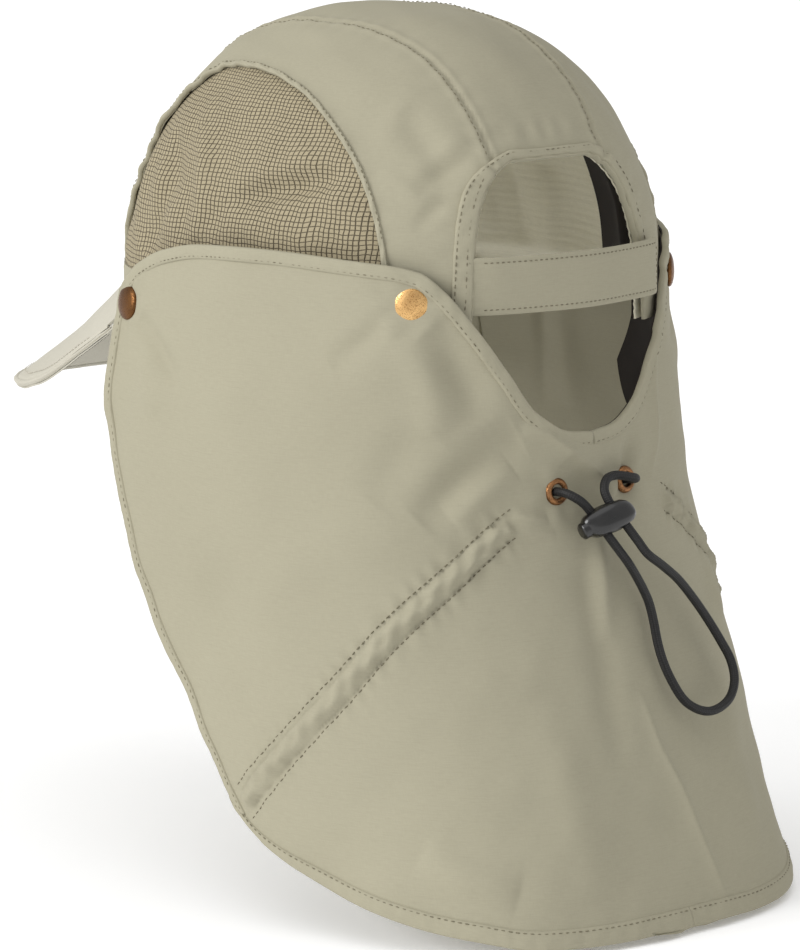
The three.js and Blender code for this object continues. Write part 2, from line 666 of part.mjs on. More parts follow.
// The lock rides on two straight, parallel legs of the loop.
const slide = new THREE.Vector3(-0.4, 0.44, -0.8).normalize();
const across = new THREE.Vector3(-0.91, 0.24, 0.34).normalize();
const lockAt = new THREE.Vector3(4.5, 118.7, -71.4);
const onLeg = (hole, along) => lockAt.clone().addScaledVector(across, hole).addScaledVector(slide, along);
const straight = [-5.2, -2, 2, 7, 12, 17];
const hangingLoop = [
  [-3.4, 125, -91.7], [-7.4, 124.3, -96.8], [-10.5, 124.3, -102.3], [-11.6, 125.6, -109],
  [-10.6, 128.6, -115.6], [-10.5, 131.6, -122.2], [-12.2, 134.6, -129.3], [-15.5, 137.1, -135.7],
  [-20, 138.6, -139.2], [-25.8, 139.2, -141], [-32.5, 138.7, -140.5], [-39.2, 136.8, -138],
  [-43.6, 134.2, -133.2], [-44.6, 131.3, -127], [-41.8, 129, -120], [-37, 126.8, -111.5],
  [-30.6, 126, -103.3], [-22.7, 126.3, -95.4], [-14.4, 127, -89.3],
];
const throughGrommet = ({ at, out }) =>
  [-2.6, -0.8, 1].map((depth) => at.clone().addScaledVector(out, depth).toArray());
const loopPoints = [
  ...throughGrommet(grommetSeats[0]), [16.8, 110.7, -62], [15.1, 113.4, -63.3], [12.2, 114.6, -65.6],
  ...straight.map((along) => onLeg(lock.holeA, along).toArray()),
  ...hangingLoop,
  ...straight.map((along) => onLeg(lock.holeB, along).toArray()).reverse(),
  [2.9, 115.3, -61.7], [-0.1, 113.6, -58.6], [-4.7, 113.3, -58], [-10.5, 113.9, -59.2], [-14, 113.3, -60.1],
  [-16.5, 110.8, -61.1],
  ...throughGrommet(grommetSeats[1]).reverse(),
].map((point) => new THREE.Vector3(...point));

const loopCurve = new THREE.CatmullRomCurve3(loopPoints, false, 'centripetal');
const cordCircle = circle(cord.diameter / 2, cord.sides).map((point) => new THREE.Vector2(...point));
const alongCord = { extrudePath: loopCurve, steps: cord.steps };
add('drawcord_loop', new THREE.ExtrudeGeometry(new THREE.Shape(cordCircle), alongCord), blackCord);

const lockUp = across.clone().cross(slide).normalize();
const lockSide = lockUp.clone().cross(across).normalize();
const lockPlace = new THREE.Matrix4().makeBasis(across, lockSide, lockUp).setPosition(lockAt);
const beanCentre = (lock.end - lock.start) / 2;
const bean = new THREE.SphereGeometry(1, 16, 10).rotateZ(PI / 2);
const beanPoints = bean.attributes.position;
const squarer = (v) => sign(v) * abs(v) ** lock.squareness;
for (let i = 0; i < beanPoints.count; i++) {
  const along = beanCentre + (squarer(beanPoints.getX(i)) * (lock.start + lock.end)) / 2;
  const up = (squarer(beanPoints.getY(i)) * lock.height) / 2;
  const deep = (squarer(beanPoints.getZ(i)) * lock.thickness) / 2;
  beanPoints.setXYZ(i, along, up, deep);
}
let body = solid(bean.applyMatrix4(lockPlace));
for (const hole of [lock.holeA, lock.holeB]) {
  body = body.subtract(drill(onLeg(hole, 0), slide, lock.hole / 2, 30));
}
const pocketEnd = (reach) => lockAt.clone().addScaledVector(across, -reach);
body = body.subtract(drill(pocketEnd(button.pocket + 5), across, button.diameter / 2 + gap, 10));
add('cord_lock_body', geometryOf(body), blackPlastic);

const awayFromLock = across.clone().negate();
const buttonRadius = button.diameter / 2;
const buttonLine = [
  [0, button.face], [buttonRadius * 0.6, button.face - 0.1], [buttonRadius, button.face - 0.7],
  [buttonRadius, button.skirt], [0, button.skirt],
];
add('lock_button', turned(buttonLine, 12), blackPlastic, placed(lockAt, awayFromLock));
const coil = button.spring / 2;
const springFoot = button.pocket + 0.1;
const springTop = button.skirt - 0.1;
const springLine = [
  [coil - button.wire, springFoot], [coil, springFoot], [coil, springTop], [coil - button.wire, springTop],
];
add('lock_spring', turned(springLine, 10), steel, placed(lockAt, awayFromLock));

export default object;
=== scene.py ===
"""The looks of a sun cap with a removable neck cape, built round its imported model.

Sizes are in millimetres until a mesh is made. +X is the wearer's left, +Y the back of the head, +Z up.
"""
import json
import math

import bpy
import numpy as np
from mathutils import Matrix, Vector

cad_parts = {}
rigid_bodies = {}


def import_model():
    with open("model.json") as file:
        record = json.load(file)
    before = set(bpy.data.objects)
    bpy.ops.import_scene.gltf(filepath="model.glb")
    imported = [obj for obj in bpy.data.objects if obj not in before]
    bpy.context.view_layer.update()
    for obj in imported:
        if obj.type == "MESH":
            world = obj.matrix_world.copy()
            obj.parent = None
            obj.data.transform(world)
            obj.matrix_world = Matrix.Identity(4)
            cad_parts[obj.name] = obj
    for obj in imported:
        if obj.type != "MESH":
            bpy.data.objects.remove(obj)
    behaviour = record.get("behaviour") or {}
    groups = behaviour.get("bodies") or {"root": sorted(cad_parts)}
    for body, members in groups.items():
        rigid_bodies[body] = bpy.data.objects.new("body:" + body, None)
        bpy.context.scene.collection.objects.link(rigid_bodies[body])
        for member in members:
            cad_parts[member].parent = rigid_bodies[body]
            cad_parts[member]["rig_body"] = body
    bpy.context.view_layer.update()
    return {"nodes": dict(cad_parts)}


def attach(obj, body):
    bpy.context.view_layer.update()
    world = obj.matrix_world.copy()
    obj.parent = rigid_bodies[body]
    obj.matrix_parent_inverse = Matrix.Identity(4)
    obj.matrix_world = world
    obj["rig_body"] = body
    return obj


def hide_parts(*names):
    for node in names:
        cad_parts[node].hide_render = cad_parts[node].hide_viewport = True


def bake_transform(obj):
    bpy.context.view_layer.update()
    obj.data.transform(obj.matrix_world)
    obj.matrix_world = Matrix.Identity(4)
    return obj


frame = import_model()

MM = 0.001
SIDES = {"left": 1, "right": -1}
TURN = 2 * math.pi

# ------------------------------------------------------------------ sizes shared with the model
HEAD = {"half_width": 83, "half_length": 101, "square": 2.35, "height": 98.5, "taper": 0.82, "lean": 5}
SKIRT = 9
SEAM_LEFT, SEAM_RIGHT = 29.5, -19.5
MESH = {"sill": 3, "top": 79, "front": -84, "back": 72, "edge": 35}
DROP, EASE, NOTCH, TOP_EDGE = 209, 6, 43, 21
HINGE_SHARE = 0.365
CLOTH = 1.2

CAPE_MIDDLE = [(-0.14, 0), (0, 0), (0.19, 1), (0.3, 3), (0.48, 13), (0.72, 32), (0.91, 45), (1, 51)]
CAPE_SIDE = [(-0.14, -1), (0, 0), (0.19, 6), (0.3, 8), (0.48, 11), (0.72, 14), (1, 15)]
CAPE_BACK = [(-0.14, -4), (0, -3), (0.3, -3), (0.72, 0), (1, 4)]
CAPE_FRONT = [(-0.14, 13), (0, 15), (0.19, 27), (0.48, 31), (0.72, 28), (1, 20)]
FRONT_EDGE = [(-0.14, -45), (0, -50), (0.19, -52), (0.3, -43), (0.48, -22), (0.72, 15), (0.91, 50), (1, 57)]
TOP_LINE = [(0, 0), (0.05, 0.02), (0.11, 0.14), (0.16, 0.38), (0.21, 0.62), (0.26, 0.82), (0.3, 0.92),
            (0.36, 0.96), (0.6, 1), (0.76, 0.975), (0.87, 0.91), (0.95, 0.8), (1, 0.64)]
HEM_LINE = [(0, 0), (0.2, -0.005), (0.35, -0.002), (0.5, 0.015), (0.62, 0.029), (0.75, 0.053), (0.87, 0.086),
            (0.95, 0.12), (1, 0.167)]
CASING_LINE = [(0.08, -62), (0.18, -72), (0.3, -88), (0.41, -103), (0.58, -128), (0.8, -155), (0.95, -170)]

CORD_DIAMETER = 3.2
SLIDE = Vector((-0.4, 0.44, -0.8)).normalized()
ACROSS = Vector((-0.91, 0.24, 0.34)).normalized()
LOCK_AT = Vector((4.5, 118.7, -71.4))
HOLE_A, HOLE_B = -3.6, 4.3


# ------------------------------------------------------------------ numbers and curves
def unit(vectors):
    """Vectors brought to a length of one."""
    vectors = np.asarray(vectors, float)
    length = np.linalg.norm(vectors, axis=-1, keepdims=True)
    return vectors / np.maximum(length, 1e-9)


def through(points, at):
    """A smooth curve through (key, value) pairs that never overshoots them."""
    keys, values = np.array(points, float).T
    width = np.diff(keys)
    rise = np.diff(values) / width
    product = rise[:-1] * rise[1:]
    total = rise[:-1] + rise[1:]
    inner = np.where(product > 0, 2 * product / np.where(total == 0, 1, total), 0)
    slope = np.concatenate([rise[:1], inner, rise[-1:]])
    at = np.clip(at, keys[0], keys[-1])
    i = np.clip(np.searchsorted(keys, at, side="right") - 1, 0, len(width) - 1)
    t = (at - keys[i]) / width[i]
    start = (1 - t) ** 2 * ((1 + 2 * t) * values[i] + t * width[i] * slope[i])
    end = t**2 * ((3 - 2 * t) * values[i + 1] - (1 - t) * width[i] * slope[i + 1])
    return start + end


def flattened(value, power):
    """A sine or cosine brought to a power, so that a circle turns into a rounder or squarer oval."""
    return np.sign(value) * np.abs(value) ** power


def lengths_along(line):
    """How far along a polyline each of its points is."""
    return np.append(0, np.cumsum(np.linalg.norm(np.diff(line, axis=0), axis=1)))


def smooth_step(low, high, value):
    """0 below low, 1 above high, and a smooth rise between them."""
    t = np.clip((value - low) / (high - low), 0, 1)
    return t * t * (3 - 2 * t)


def at_lengths(rows, lengths, at):
    """Rows of values that are known at some lengths, read at others."""
    return np.stack([np.interp(at, lengths, column) for column in rows.T], 1)


def evenly(points, spacing):
    """A polyline's points set at an even spacing."""
    points = np.asarray(points, float)
    lengths = lengths_along(points)
    count = max(2, int(round(lengths[-1] / spacing)) + 1)
    at = np.linspace(0, lengths[-1], count)
    return at_lengths(points, lengths, at)


def smooth_line(points, per_span=12):
    """A centripetal Catmull-Rom line through points."""
    points = np.asarray(points, float)
    padded = np.vstack([2 * points[0] - points[1], points, 2 * points[-1] - points[-2]])
    line = []
    for i in range(len(points) - 1):
        a, b, c, d = padded[i : i + 4]
        ta = 0.0
        tb = ta + np.linalg.norm(b - a) ** 0.5
        tc = tb + np.linalg.norm(c - b) ** 0.5
        td = tc + np.linalg.norm(d - c) ** 0.5
        for t in np.linspace(tb, tc, per_span, endpoint=False):
            ab = (tb - t) / (tb - ta) * a + (t - ta) / (tb - ta) * b
            bc = (tc - t) / (tc - tb) * b + (t - tb) / (tc - tb) * c
            cd = (td - t) / (td - tc) * c + (t - tc) / (td - tc) * d
            abc = (tc - t) / (tc - ta) * ab + (t - ta) / (tc - ta) * bc
            bcd = (td - t) / (td - tb) * bc + (t - tb) / (td - tb) * cd
            line.append((tc - t) / (tc - tb) * abc + (t - tb) / (tc - tb) * bcd)
    return np.vstack([line, points[-1:]])


def near(points, line):
    """For each point: its distance to a polyline, and how far along the polyline it is nearest."""
    line = np.asarray(line, float)
    best = np.full(len(points), 1e9)
    along = np.zeros(len(points))
    start = 0.0
    for a, b in zip(line[:-1], line[1:]):
        length = np.linalg.norm(b - a)
        t = np.clip(((points - a) @ (b - a)) / length**2, 0, 1)
        distance = np.linalg.norm(points - (a + t[:, None] * (b - a)), axis=1)
        closer = distance < best
        best = np.where(closer, distance, best)
        along = np.where(closer, start + t * length, along)
        start += length
    return best, along


def inside(points, outline):
    """Which flat points are inside a closed outline."""
    found = np.zeros(len(points), bool)
    x, y = points.T
    for (ax, ay), (bx, by) in zip(outline, np.roll(outline, -1, axis=0)):
        crosses = (ay > y) != (by > y)
        rise = np.where(by == ay, 1e-9, by - ay)
        found ^= crosses & (x < (bx - ax) * (y - ay) / rise + ax)
    return found


def beyond(points, outline):
    """Signed distance of flat points from a closed outline, negative inside it."""
    distance, _ = near(points, np.vstack([outline, outline[:1]]))
    return np.where(inside(points, outline), -distance, distance)


def waves(points, size, seed, layers=3):
    """Gentle unevenness from a few crossing waves; size is about the width of a wave."""
    draw = np.random.default_rng(seed)
    total = np.zeros(len(points))
    for layer in range(layers):
        for _ in range(4):
            direction = unit(draw.normal(size=3))
            phase = draw.uniform(0, TURN)
            length = size * draw.uniform(0.7, 1.5) / 1.7**layer
            total += np.sin(points @ direction * TURN / length + phase) / (4 * 1.7**layer)
    return total


def ridge(points, line, height, width, sharp=False):
    """A fold along a line: how far it lifts each point. Its ends die away."""
    distance, along = near(points, line)
    length = np.linalg.norm(np.diff(np.asarray(line, float), axis=0), axis=1).sum()
    ends = np.sin(np.clip(along / length, 0, 1) * math.pi) ** 0.6
    across = np.exp(-distance / width) if sharp else np.exp(-((distance / width) ** 2))
    return height * ends * across


# ------------------------------------------------------------------ the crown's surface
def oval(angle, half_width, half_length):
    """Radius of the head's oval; the angle is 0 at the back and turns to the wearer's left."""
    x = (np.abs(np.sin(angle)) / half_width) ** HEAD["square"]
    y = (np.abs(np.cos(angle)) / half_length) ** HEAD["square"]
    return (x + y) ** (-1 / HEAD["square"])


def crown_point(angle, rise, depth=0.0):
    """A point of the crown; below a rise of 0 the skirt goes straight down, a radian to 100 mm."""
    angle, rise = np.broadcast_arrays(np.asarray(angle, float), np.asarray(rise, float))
    up = np.clip(rise, 0, math.pi / 2)
    rim = oval(angle, HEAD["half_width"] - depth, HEAD["half_length"] - depth)
    radius = rim * np.cos(up) ** HEAD["taper"]
    y = radius * np.cos(angle) + HEAD["lean"] * np.sin(up)
    z = (HEAD["height"] - depth) * np.sin(up) + np.minimum(rise, 0) * 100
    return np.stack([radius * np.sin(angle), y, z], -1)


def rise_at(z):
    """The crown's rise at a height."""
    z = np.asarray(z, float)
    return np.where(z < 0, z / 100, np.arcsin(np.clip(z / HEAD["height"], -1, 1)))


def crown_angle(z, x=None, y=None):
    """The angle at which the crown has a given x on its back, or a given y on its left."""
    up = np.clip(rise_at(z), 0, math.pi / 2)
    shrink = np.cos(up) ** HEAD["taper"]
    power = HEAD["square"]
    if x is not None:
        share = np.clip(np.abs(x) / (HEAD["half_width"] * shrink), 0, 1)
        reach = HEAD["half_length"] * shrink * (1 - share**power) ** (1 / power)
        return np.arctan2(x, reach)
    forward = y - HEAD["lean"] * np.sin(up)
    share = np.clip(np.abs(forward) / (HEAD["half_length"] * shrink), 0, 1)
    reach = HEAD["half_width"] * shrink * (1 - share**power) ** (1 / power)
    return np.arctan2(reach, forward)


def bend(start, control, end, count=14):
    """A quadratic curve, without its last point."""
    t = np.linspace(0, 1, count, endpoint=False)[:, None]
    start, control, end = (np.array(p, float) for p in (start, control, end))
    return (1 - t) ** 2 * start + 2 * t * (1 - t) * control + t**2 * end


# The back opening's edge in x and z, from the foot of its left side over the top to the right foot.
OPENING = np.vstack([
    bend((44, -9), (43.6, 0), (43, 10.8), 8),
    bend((43, 10.8), (41, 46.5), (22, 52.5)),
    bend((22, 52.5), (4, 53.5), (-14, 52.5), 10),
    bend((-14, 52.5), (-32, 44.5), (-35, 10.8)),
    bend((-35, 10.8), (-35.6, 0), (-36, -9), 8),
    [(-36, -9)],
])
OPENING_CLOSED = np.vstack([[(44, -60)], OPENING, [(-36, -60)]])

# The mesh window's edge in y and z, from the front foot over the top to the back foot.
WINDOW = np.vstack([
    bend((MESH["front"], -12), (MESH["front"], 0), (MESH["front"], MESH["sill"]), 4),
    bend((MESH["front"], MESH["sill"]), (-70, 59), (-30, 77)),
    bend((-30, 77), (-6, 82), (24, 72)),
    bend((24, 72), (70, 52), (MESH["back"], MESH["sill"])),
    bend((MESH["back"], MESH["sill"]), (MESH["back"], 0), (MESH["back"], -12), 4),
    [(MESH["back"], -12)],
])


def seam_line(x):
    """Points of the crown along a seam: a plane across x, from the front rim to the back opening."""
    fronts = np.linspace(-0.05, math.pi / 2, 200)
    shrink = np.cos(np.clip(fronts, 0, math.pi / 2)) ** HEAD["taper"]
    reaches = shrink * HEAD["half_width"] > abs(x)
    rises = fronts[reaches]
    back = crown_angle(HEAD["height"] * np.sin(np.maximum(rises, 0)), x=x)
    front = np.sign(x) * math.pi - back
    line = np.vstack([crown_point(front, rises), crown_point(back, rises)[::-1]])
    return line[line[:, 2] > -5]


SEAM_LINES = {"left": seam_line(SEAM_LEFT), "right": seam_line(SEAM_RIGHT)}
OPENING_LINE = crown_point(crown_angle(OPENING[:, 1], x=OPENING[:, 0]), rise_at(OPENING[:, 1]))
WINDOW_LINE = crown_point(crown_angle(WINDOW[:, 1], y=WINDOW[:, 0]), rise_at(WINDOW[:, 1]))
WINDOW_LINES = {"left": WINDOW_LINE, "right": WINDOW_LINE * (-1, 1, 1)}


# ------------------------------------------------------------------ the cape's surface
def cape_section(z):
    share = -z / DROP
    middle = through(CAPE_MIDDLE, share)
    half_width = HEAD["half_width"] + EASE + through(CAPE_SIDE, share)
    back = HEAD["half_length"] + EASE + through(CAPE_BACK, share)
    front = HEAD["half_length"] + EASE + through(CAPE_FRONT, share)
    return middle, half_width, back, front


def front_angle(z):
    """The angle of the cape's front edge at a height."""
    middle, half_width, back, front = cape_section(z)
    y = through(FRONT_EDGE, -z / DROP) - middle
    reach = np.where(y < 0, front, back)
    power = HEAD["square"]
    x = half_width * (1 - (np.abs(y) / reach) ** power) ** (1 / power)
    return np.arctan2(x, y)


def cape_point(share, z, depth=0.0):
    """A point of the cape: share is 0 at the centre back and 1 or -1 at a front edge."""
    share, z = np.broadcast_arrays(np.asarray(share, float), np.asarray(z, float))
    middle, half_width, back, front = cape_section(z)
    angle = share * front_angle(z)
    radius = oval(angle, half_width, np.where(np.cos(angle) < 0, front, back)) - depth
    return np.stack([radius * np.sin(angle), middle + radius * np.cos(angle), z], -1)


def cape_normal(share, z):
    across = cape_point(share + 0.005, z) - cape_point(share - 0.005, z)
    down = cape_point(share, z - 0.7) - cape_point(share, z + 0.7)
    return unit(np.cross(across, down))


def top_of(share):
    return -NOTCH + (NOTCH + TOP_EDGE) * through(TOP_LINE, np.abs(share))


def hem_of(share):
    return -DROP + DROP * through(HEM_LINE, np.abs(share))


# ------------------------------------------------------------------ how the cloth lies
GROMMET_SHARE = 0.0785
GROMMET_HEIGHT = -62.0
GROMMETS = {side: cape_point(way * GROMMET_SHARE, GROMMET_HEIGHT) for side, way in SIDES.items()}
SNAPS = {
    "rear_left": (0.31, 5.0),
    "rear_right": (-0.31, 5.0),
    "front_left": (0.9665, -6.0),
    "front_right": (-0.9665, -6.0),
}
CASING_SHARES = np.linspace(0.17, 0.955, 60)
CASING_HALF = 3.9


def casing_line(way):
    return cape_point(way * CASING_SHARES, through(CASING_LINE, CASING_SHARES))


def casing_place(points, way):
    """How far points are along a casing and across it, and 1 beside it down to 0 at its ends."""
    line = casing_line(way)
    distance, along = near(points, line)
    lengths = lengths_along(line)
    share = np.interp(along, lengths, CASING_SHARES)
    here = at_lengths(line, lengths, along)
    normals = cape_normal(way * share, through(CASING_LINE, share))
    ahead = cape_point(way * (share + 0.01), through(CASING_LINE, share + 0.01)) - here
    up = unit(np.cross(normals, unit(ahead))) * way
    offset = np.sum((points - here) * up, axis=1)
    beside = smooth_step(0, 4, along) * smooth_step(0, 4, lengths[-1] - along)
    return along, np.sign(offset) * distance, beside


CAPE_FOLDS = [
    # a line on the cape, the fold's height, its width, and whether its crest is sharp
    ([(30, 103, -38), (20, 104, -42), (8, 106, -51), (-3, 107, -60), (-9, 108, -68)], 2.6, 4.5, True),
    ([(14, 105, -52), (4, 107, -62), (-2, 108, -70)], -1.6, 5, False),
    ([(58, 86, -3), (53, 90, -10), (48, 94, -22), (45, 97, -36)], -2.2, 7, False),
    ([(64, 80, -6), (60, 87, -20), (57, 90, -40)], 1.0, 6, False),
    ([(69, 75, -2), (74, 68, -9), (80, 59, -16)], -0.9, 4, False),
    ([(88, -34, -10), (91, -20, -20), (94, -4, -30)], -1.4, 4, False),
    ([(90, -30, -26), (93, -16, -42)], 0.8, 5, False),
    ([(31, 102, -42), (42, 99, -48), (52, 95, -56), (65, 89, -69)], -2.0, 7, False),
    ([(34, 102, -52), (46, 98, -60), (56, 95, -68)], 1.6, 5, False),
    ([(60, 88, -38), (68, 82, -48), (76, 76, -62)], -1.1, 8, False),
    ([(36, 104, -68), (30, 106, -70), (22, 107, -71)], 1.3, 2.4, False),
    ([(37, 104, -74), (30, 106, -75), (20, 108, -76)], 0.9, 2.0, False),
    ([(2, 110, -76), (5, 117, -96), (9, 124, -114)], 1.9, 4, False),
    ([(9, 114, -86), (11, 122, -110), (14, 131, -132), (16, 140, -154)], -1.5, 6, False),
    ([(0, 131, -131), (-3, 139, -150), (-10, 146, -169), (-19, 159, -204)], 1.3, 2.6, True),
    ([(-39, 98, -12), (-35, 100, -30), (-35, 101, -51), (-30, 104, -64)], 1.2, 2.4, True),
    ([(-22, 103, -44), (-19, 106, -56), (-14, 109, -72)], -1.3, 4, False),
    ([(99, 12, -80), (101, 30, -112), (101, 46, -135)], -1.2, 10, False),
    ([(86, 112, -178), (76, 126, -186), (64, 138, -190)], 1.4, 7, False),
    ([(-62, 100, -94), (-61, 104, -106), (-63, 109, -120)], 1.6, 6, False),
    ([(-50, 120, -130), (-44, 136, -165), (-40, 148, -195)], 1.2, 9, False),
    ([(40, 122, -130), (38, 138, -165), (36, 150, -195)], 1.0, 10, False),
    ([(-96, 20, -70), (-99, 34, -110), (-98, 52, -140)], 1.0, 10, False),
    ([(-70, 70, -8), (-80, 48, -30), (-88, 26, -58)], -1.6, 7, False),
    ([(-60, 84, -14), (-74, 62, -40), (-84, 44, -70)], 1.8, 6, False),
    ([(-89, -14, 0), (-90, -17, -30), (-92, -17, -66)], 1.9, 4, False),
    ([(-88, -2, 4), (-89, -4, -28), (-92, -2, -60)], -1.6, 7, False),
]


def cape_relief(points):
    """How far the cape's cloth stands out from its smooth shape, in millimetres."""
    lift = 1.6 * waves(points, 95, 3) + 0.35 * waves(points, 34, 4)
    lift = lift - 2.8 * smooth_step(60, 200, -points[:, 2]) * smooth_step(40, 100, points[:, 1])
    for line, height, width, sharp in CAPE_FOLDS:
        lift = lift + ridge(points, line, 1.7 * height, width, sharp)
    for way in SIDES.values():
        along, offset, beside = casing_place(points, way)
        across = np.abs(offset)
        tunnel = np.exp(-((across / (CASING_HALF - 0.6)) ** 4))
        twist = np.sin(TURN * along / 23 + offset * 0.75) + 0.6 * np.sin(TURN * along / 9.5 - offset * 0.9 + 1)
        lift = lift + beside * tunnel * (2.0 + 0.75 * twist)
        rows = np.exp(-(((across - CASING_HALF) / 0.55) ** 2))
        pucker = np.sin(TURN * along / 7.4 + 1.9 * np.sin(along / 6.3))
        pucker = pucker * np.exp(-(((across - CASING_HALF - 1.5) / 3.2) ** 2))
        lift = lift + beside * (0.36 * pucker - 0.9 * rows)
    for place in GROMMETS.values():
        reach = np.linalg.norm(points - place, axis=1)
        around = np.arctan2(points[:, 2] - place[2], points[:, 0] - place[0])
        lift = lift - 0.7 * np.exp(-((reach / 8) ** 2))
        lift = lift + 0.4 * np.cos(5 * around + 0.6) * np.exp(-(((reach - 9) / 4.5) ** 2))
    for share, height in SNAPS.values():
        place = cape_point(share, height)
        reach = np.linalg.norm(points - place, axis=1)
        around = np.arctan2(points[:, 2] - place[2], points[:, 1] - place[1])
        lift = lift - 0.8 * np.exp(-((reach / 9) ** 2))
        lift = lift + 0.35 * np.cos(6 * around) * np.exp(-(((reach - 11) / 4) ** 2))
    return lift


def cape_outside(share, z):
    """Points of the cape as it lies, and the way out from them."""
    base = cape_point(share, z)
    normals = cape_normal(share, z)
    return base + normals * cape_relief(base)[:, None], normals


CROWN_FOLDS = [
    ([(48, 60, 68), (47, 73, 56), (44, 83, 43)], -1.5, 5, False),
    ([(54, 74, 42), (45, 80, 49), (33, 84, 56)], -1.3, 3.4, False),
    ([(57, 77, 30), (50, 81, 37), (46, 83, 42)], -1.2, 3, False),
    ([(56, 72, 50), (47, 77, 55), (36, 80, 61)], 1.1, 3.4, False),
    ([(58, 60, 58), (50, 60, 66), (40, 58, 76)], 0.9, 5, False),
    ([(61, 63, 50), (57, 70, 44), (52, 78, 38)], 0.8, 4, False),
    ([(40, -30, 88), (44, 0, 88), (44, 26, 84)], -0.7, 7, False),
    ([(-30, 60, 80), (-38, 68, 66), (-42, 76, 52)], -0.8, 6, False),
    ([(10, 40, 94), (6, 62, 84), (4, 80, 68)], 0.7, 9, False),
    ([(-50, -10, 82), (-58, 20, 76), (-60, 44, 64)], 0.7, 8, False),
]
MESH_FOLDS = [
    ([(79, 2, 35), (76, 23, 40), (70, 43, 45), (61, 59, 50)], -4.4, 5, False),
    ([(66, 40, 58), (73, 32, 49), (79, 8, 41), (80, -14, 34)], 1.8, 6, False),
    ([(67, -24, 58), (74, -14, 46), (79, -11, 32), (81, -12, 18)], 3.4, 5.5, False),
    ([(65, -42, 55), (74, -36, 38), (77, -42, 22), (78, -48, 10)], -4.0, 6.5, False),
    ([(80, 14, 24), (80, 34, 22), (74, 52, 26)], 1.2, 7, False),
    ([(81, -4, 14), (82, 20, 12), (78, 44, 14)], -1.4, 5, False),
    ([(58, -52, 52), (66, -58, 32), (70, -62, 14)], 1.8, 5, False),
    ([(60, 30, 66), (66, 36, 56), (68, 46, 46)], -0.9, 4, False),
]


def both_sides(folds):
    """Folds of the left side, and the same folds on the right."""
    mirrored = [([(-x, y, z) for x, y, z in line], *shape) for line, *shape in folds]
    return folds + mirrored


def crown_relief(points):
    lift = 0.9 * waves(points, 60, 11) + 0.12 * waves(points, 21, 12)
    for line, height, width, sharp in CROWN_FOLDS:
        lift = lift + ridge(points, line, height, width, sharp)
    for line in SEAM_LINES.values():
        distance, along = near(points, line)
        pucker = np.sin(TURN * along / 9 + 1.2 * np.sin(along / 13))
        lift = lift - 0.75 * np.exp(-((distance / 0.8) ** 2)) + 0.4 * np.exp(-(((distance - 1.8) / 1.3) ** 2))
        lift = lift + 0.22 * pucker * np.exp(-((distance / 6) ** 2))
    for line in WINDOW_LINES.values():
        distance, along = near(points, line)
        pucker = np.sin(TURN * along / 12 + 1.5 * np.sin(along / 9))
        lift = lift + (0.55 + 0.25 * pucker) * np.exp(-((distance / 2.2) ** 2))
    distance, along = near(points, OPENING_LINE)
    pucker = np.sin(TURN * along / 10 + 1.5 * np.sin(along / 7))
    lift = lift + 0.3 * pucker * np.exp(-(((distance - 9) / 4) ** 2))
    return lift


def mesh_relief(points):
    distance = np.minimum(*(near(points, line)[0] for line in WINDOW_LINES.values()))
    free = smooth_step(1, 12, distance)
    lift = 1.3 * waves(points, 42, 21) + 0.35 * waves(points, 17, 22)
    for line, height, width, sharp in both_sides(MESH_FOLDS):
        lift = lift + ridge(points, line, height, width, sharp)
    return free * lift - 0.9


LINING_FOLDS = [
    ([(-68, -30, 44), (-74, -26, 24), (-77, -24, 6)], -2.4, 6),
    ([(-72, -10, 44), (-78, -8, 24), (-79, -6, 4)], 1.6, 5),
    ([(-60, -52, 40), (-66, -50, 20), (-70, -48, 2)], -2.0, 5),
    ([(-74, 12, 36), (-79, 10, 18), (-80, 8, 2)], -1.6, 6),
]


def behind_net(points):
    """How much further in the linings hang where the net's folds need room."""
    return 6.0 * (1 - smooth_step(-1, 8, in_window(points)))


def lining_relief(points):
    ripples = 0.16 * np.sin(TURN * points[:, 2] / 3.1 + 1.5 * waves(points, 50, 33))
    lift = ripples + 0.9 * waves(points, 55, 31)
    for line, height, width in LINING_FOLDS:
        lift = lift + ridge(points, line, height, width)
    return np.minimum(lift, 1.5) - behind_net(points)


# ------------------------------------------------------------------ pieces of cloth
def face_directions(points, faces):
    corners = points[faces]
    if faces.shape[1] == 4:
        return np.cross(corners[:, 2] - corners[:, 0], corners[:, 3] - corners[:, 1])
    return np.cross(corners[:, 1] - corners[:, 0], corners[:, 2] - corners[:, 0])


def point_normals(points, faces):
    directions = face_directions(points, faces)
    normals = np.zeros_like(points)
    for column in faces.T:
        np.add.at(normals, column, directions)
    return unit(normals)


def rim_of(faces):
    """The edges that belong to one face only, each in its face's direction."""
    edges = np.vstack([np.stack(pair, 1) for pair in zip(faces.T, np.roll(faces.T, -1, axis=0))])
    keys = np.sort(edges, axis=1)
    _, first, counts = np.unique(keys, axis=0, return_index=True, return_counts=True)
    return edges[first[counts == 1]]


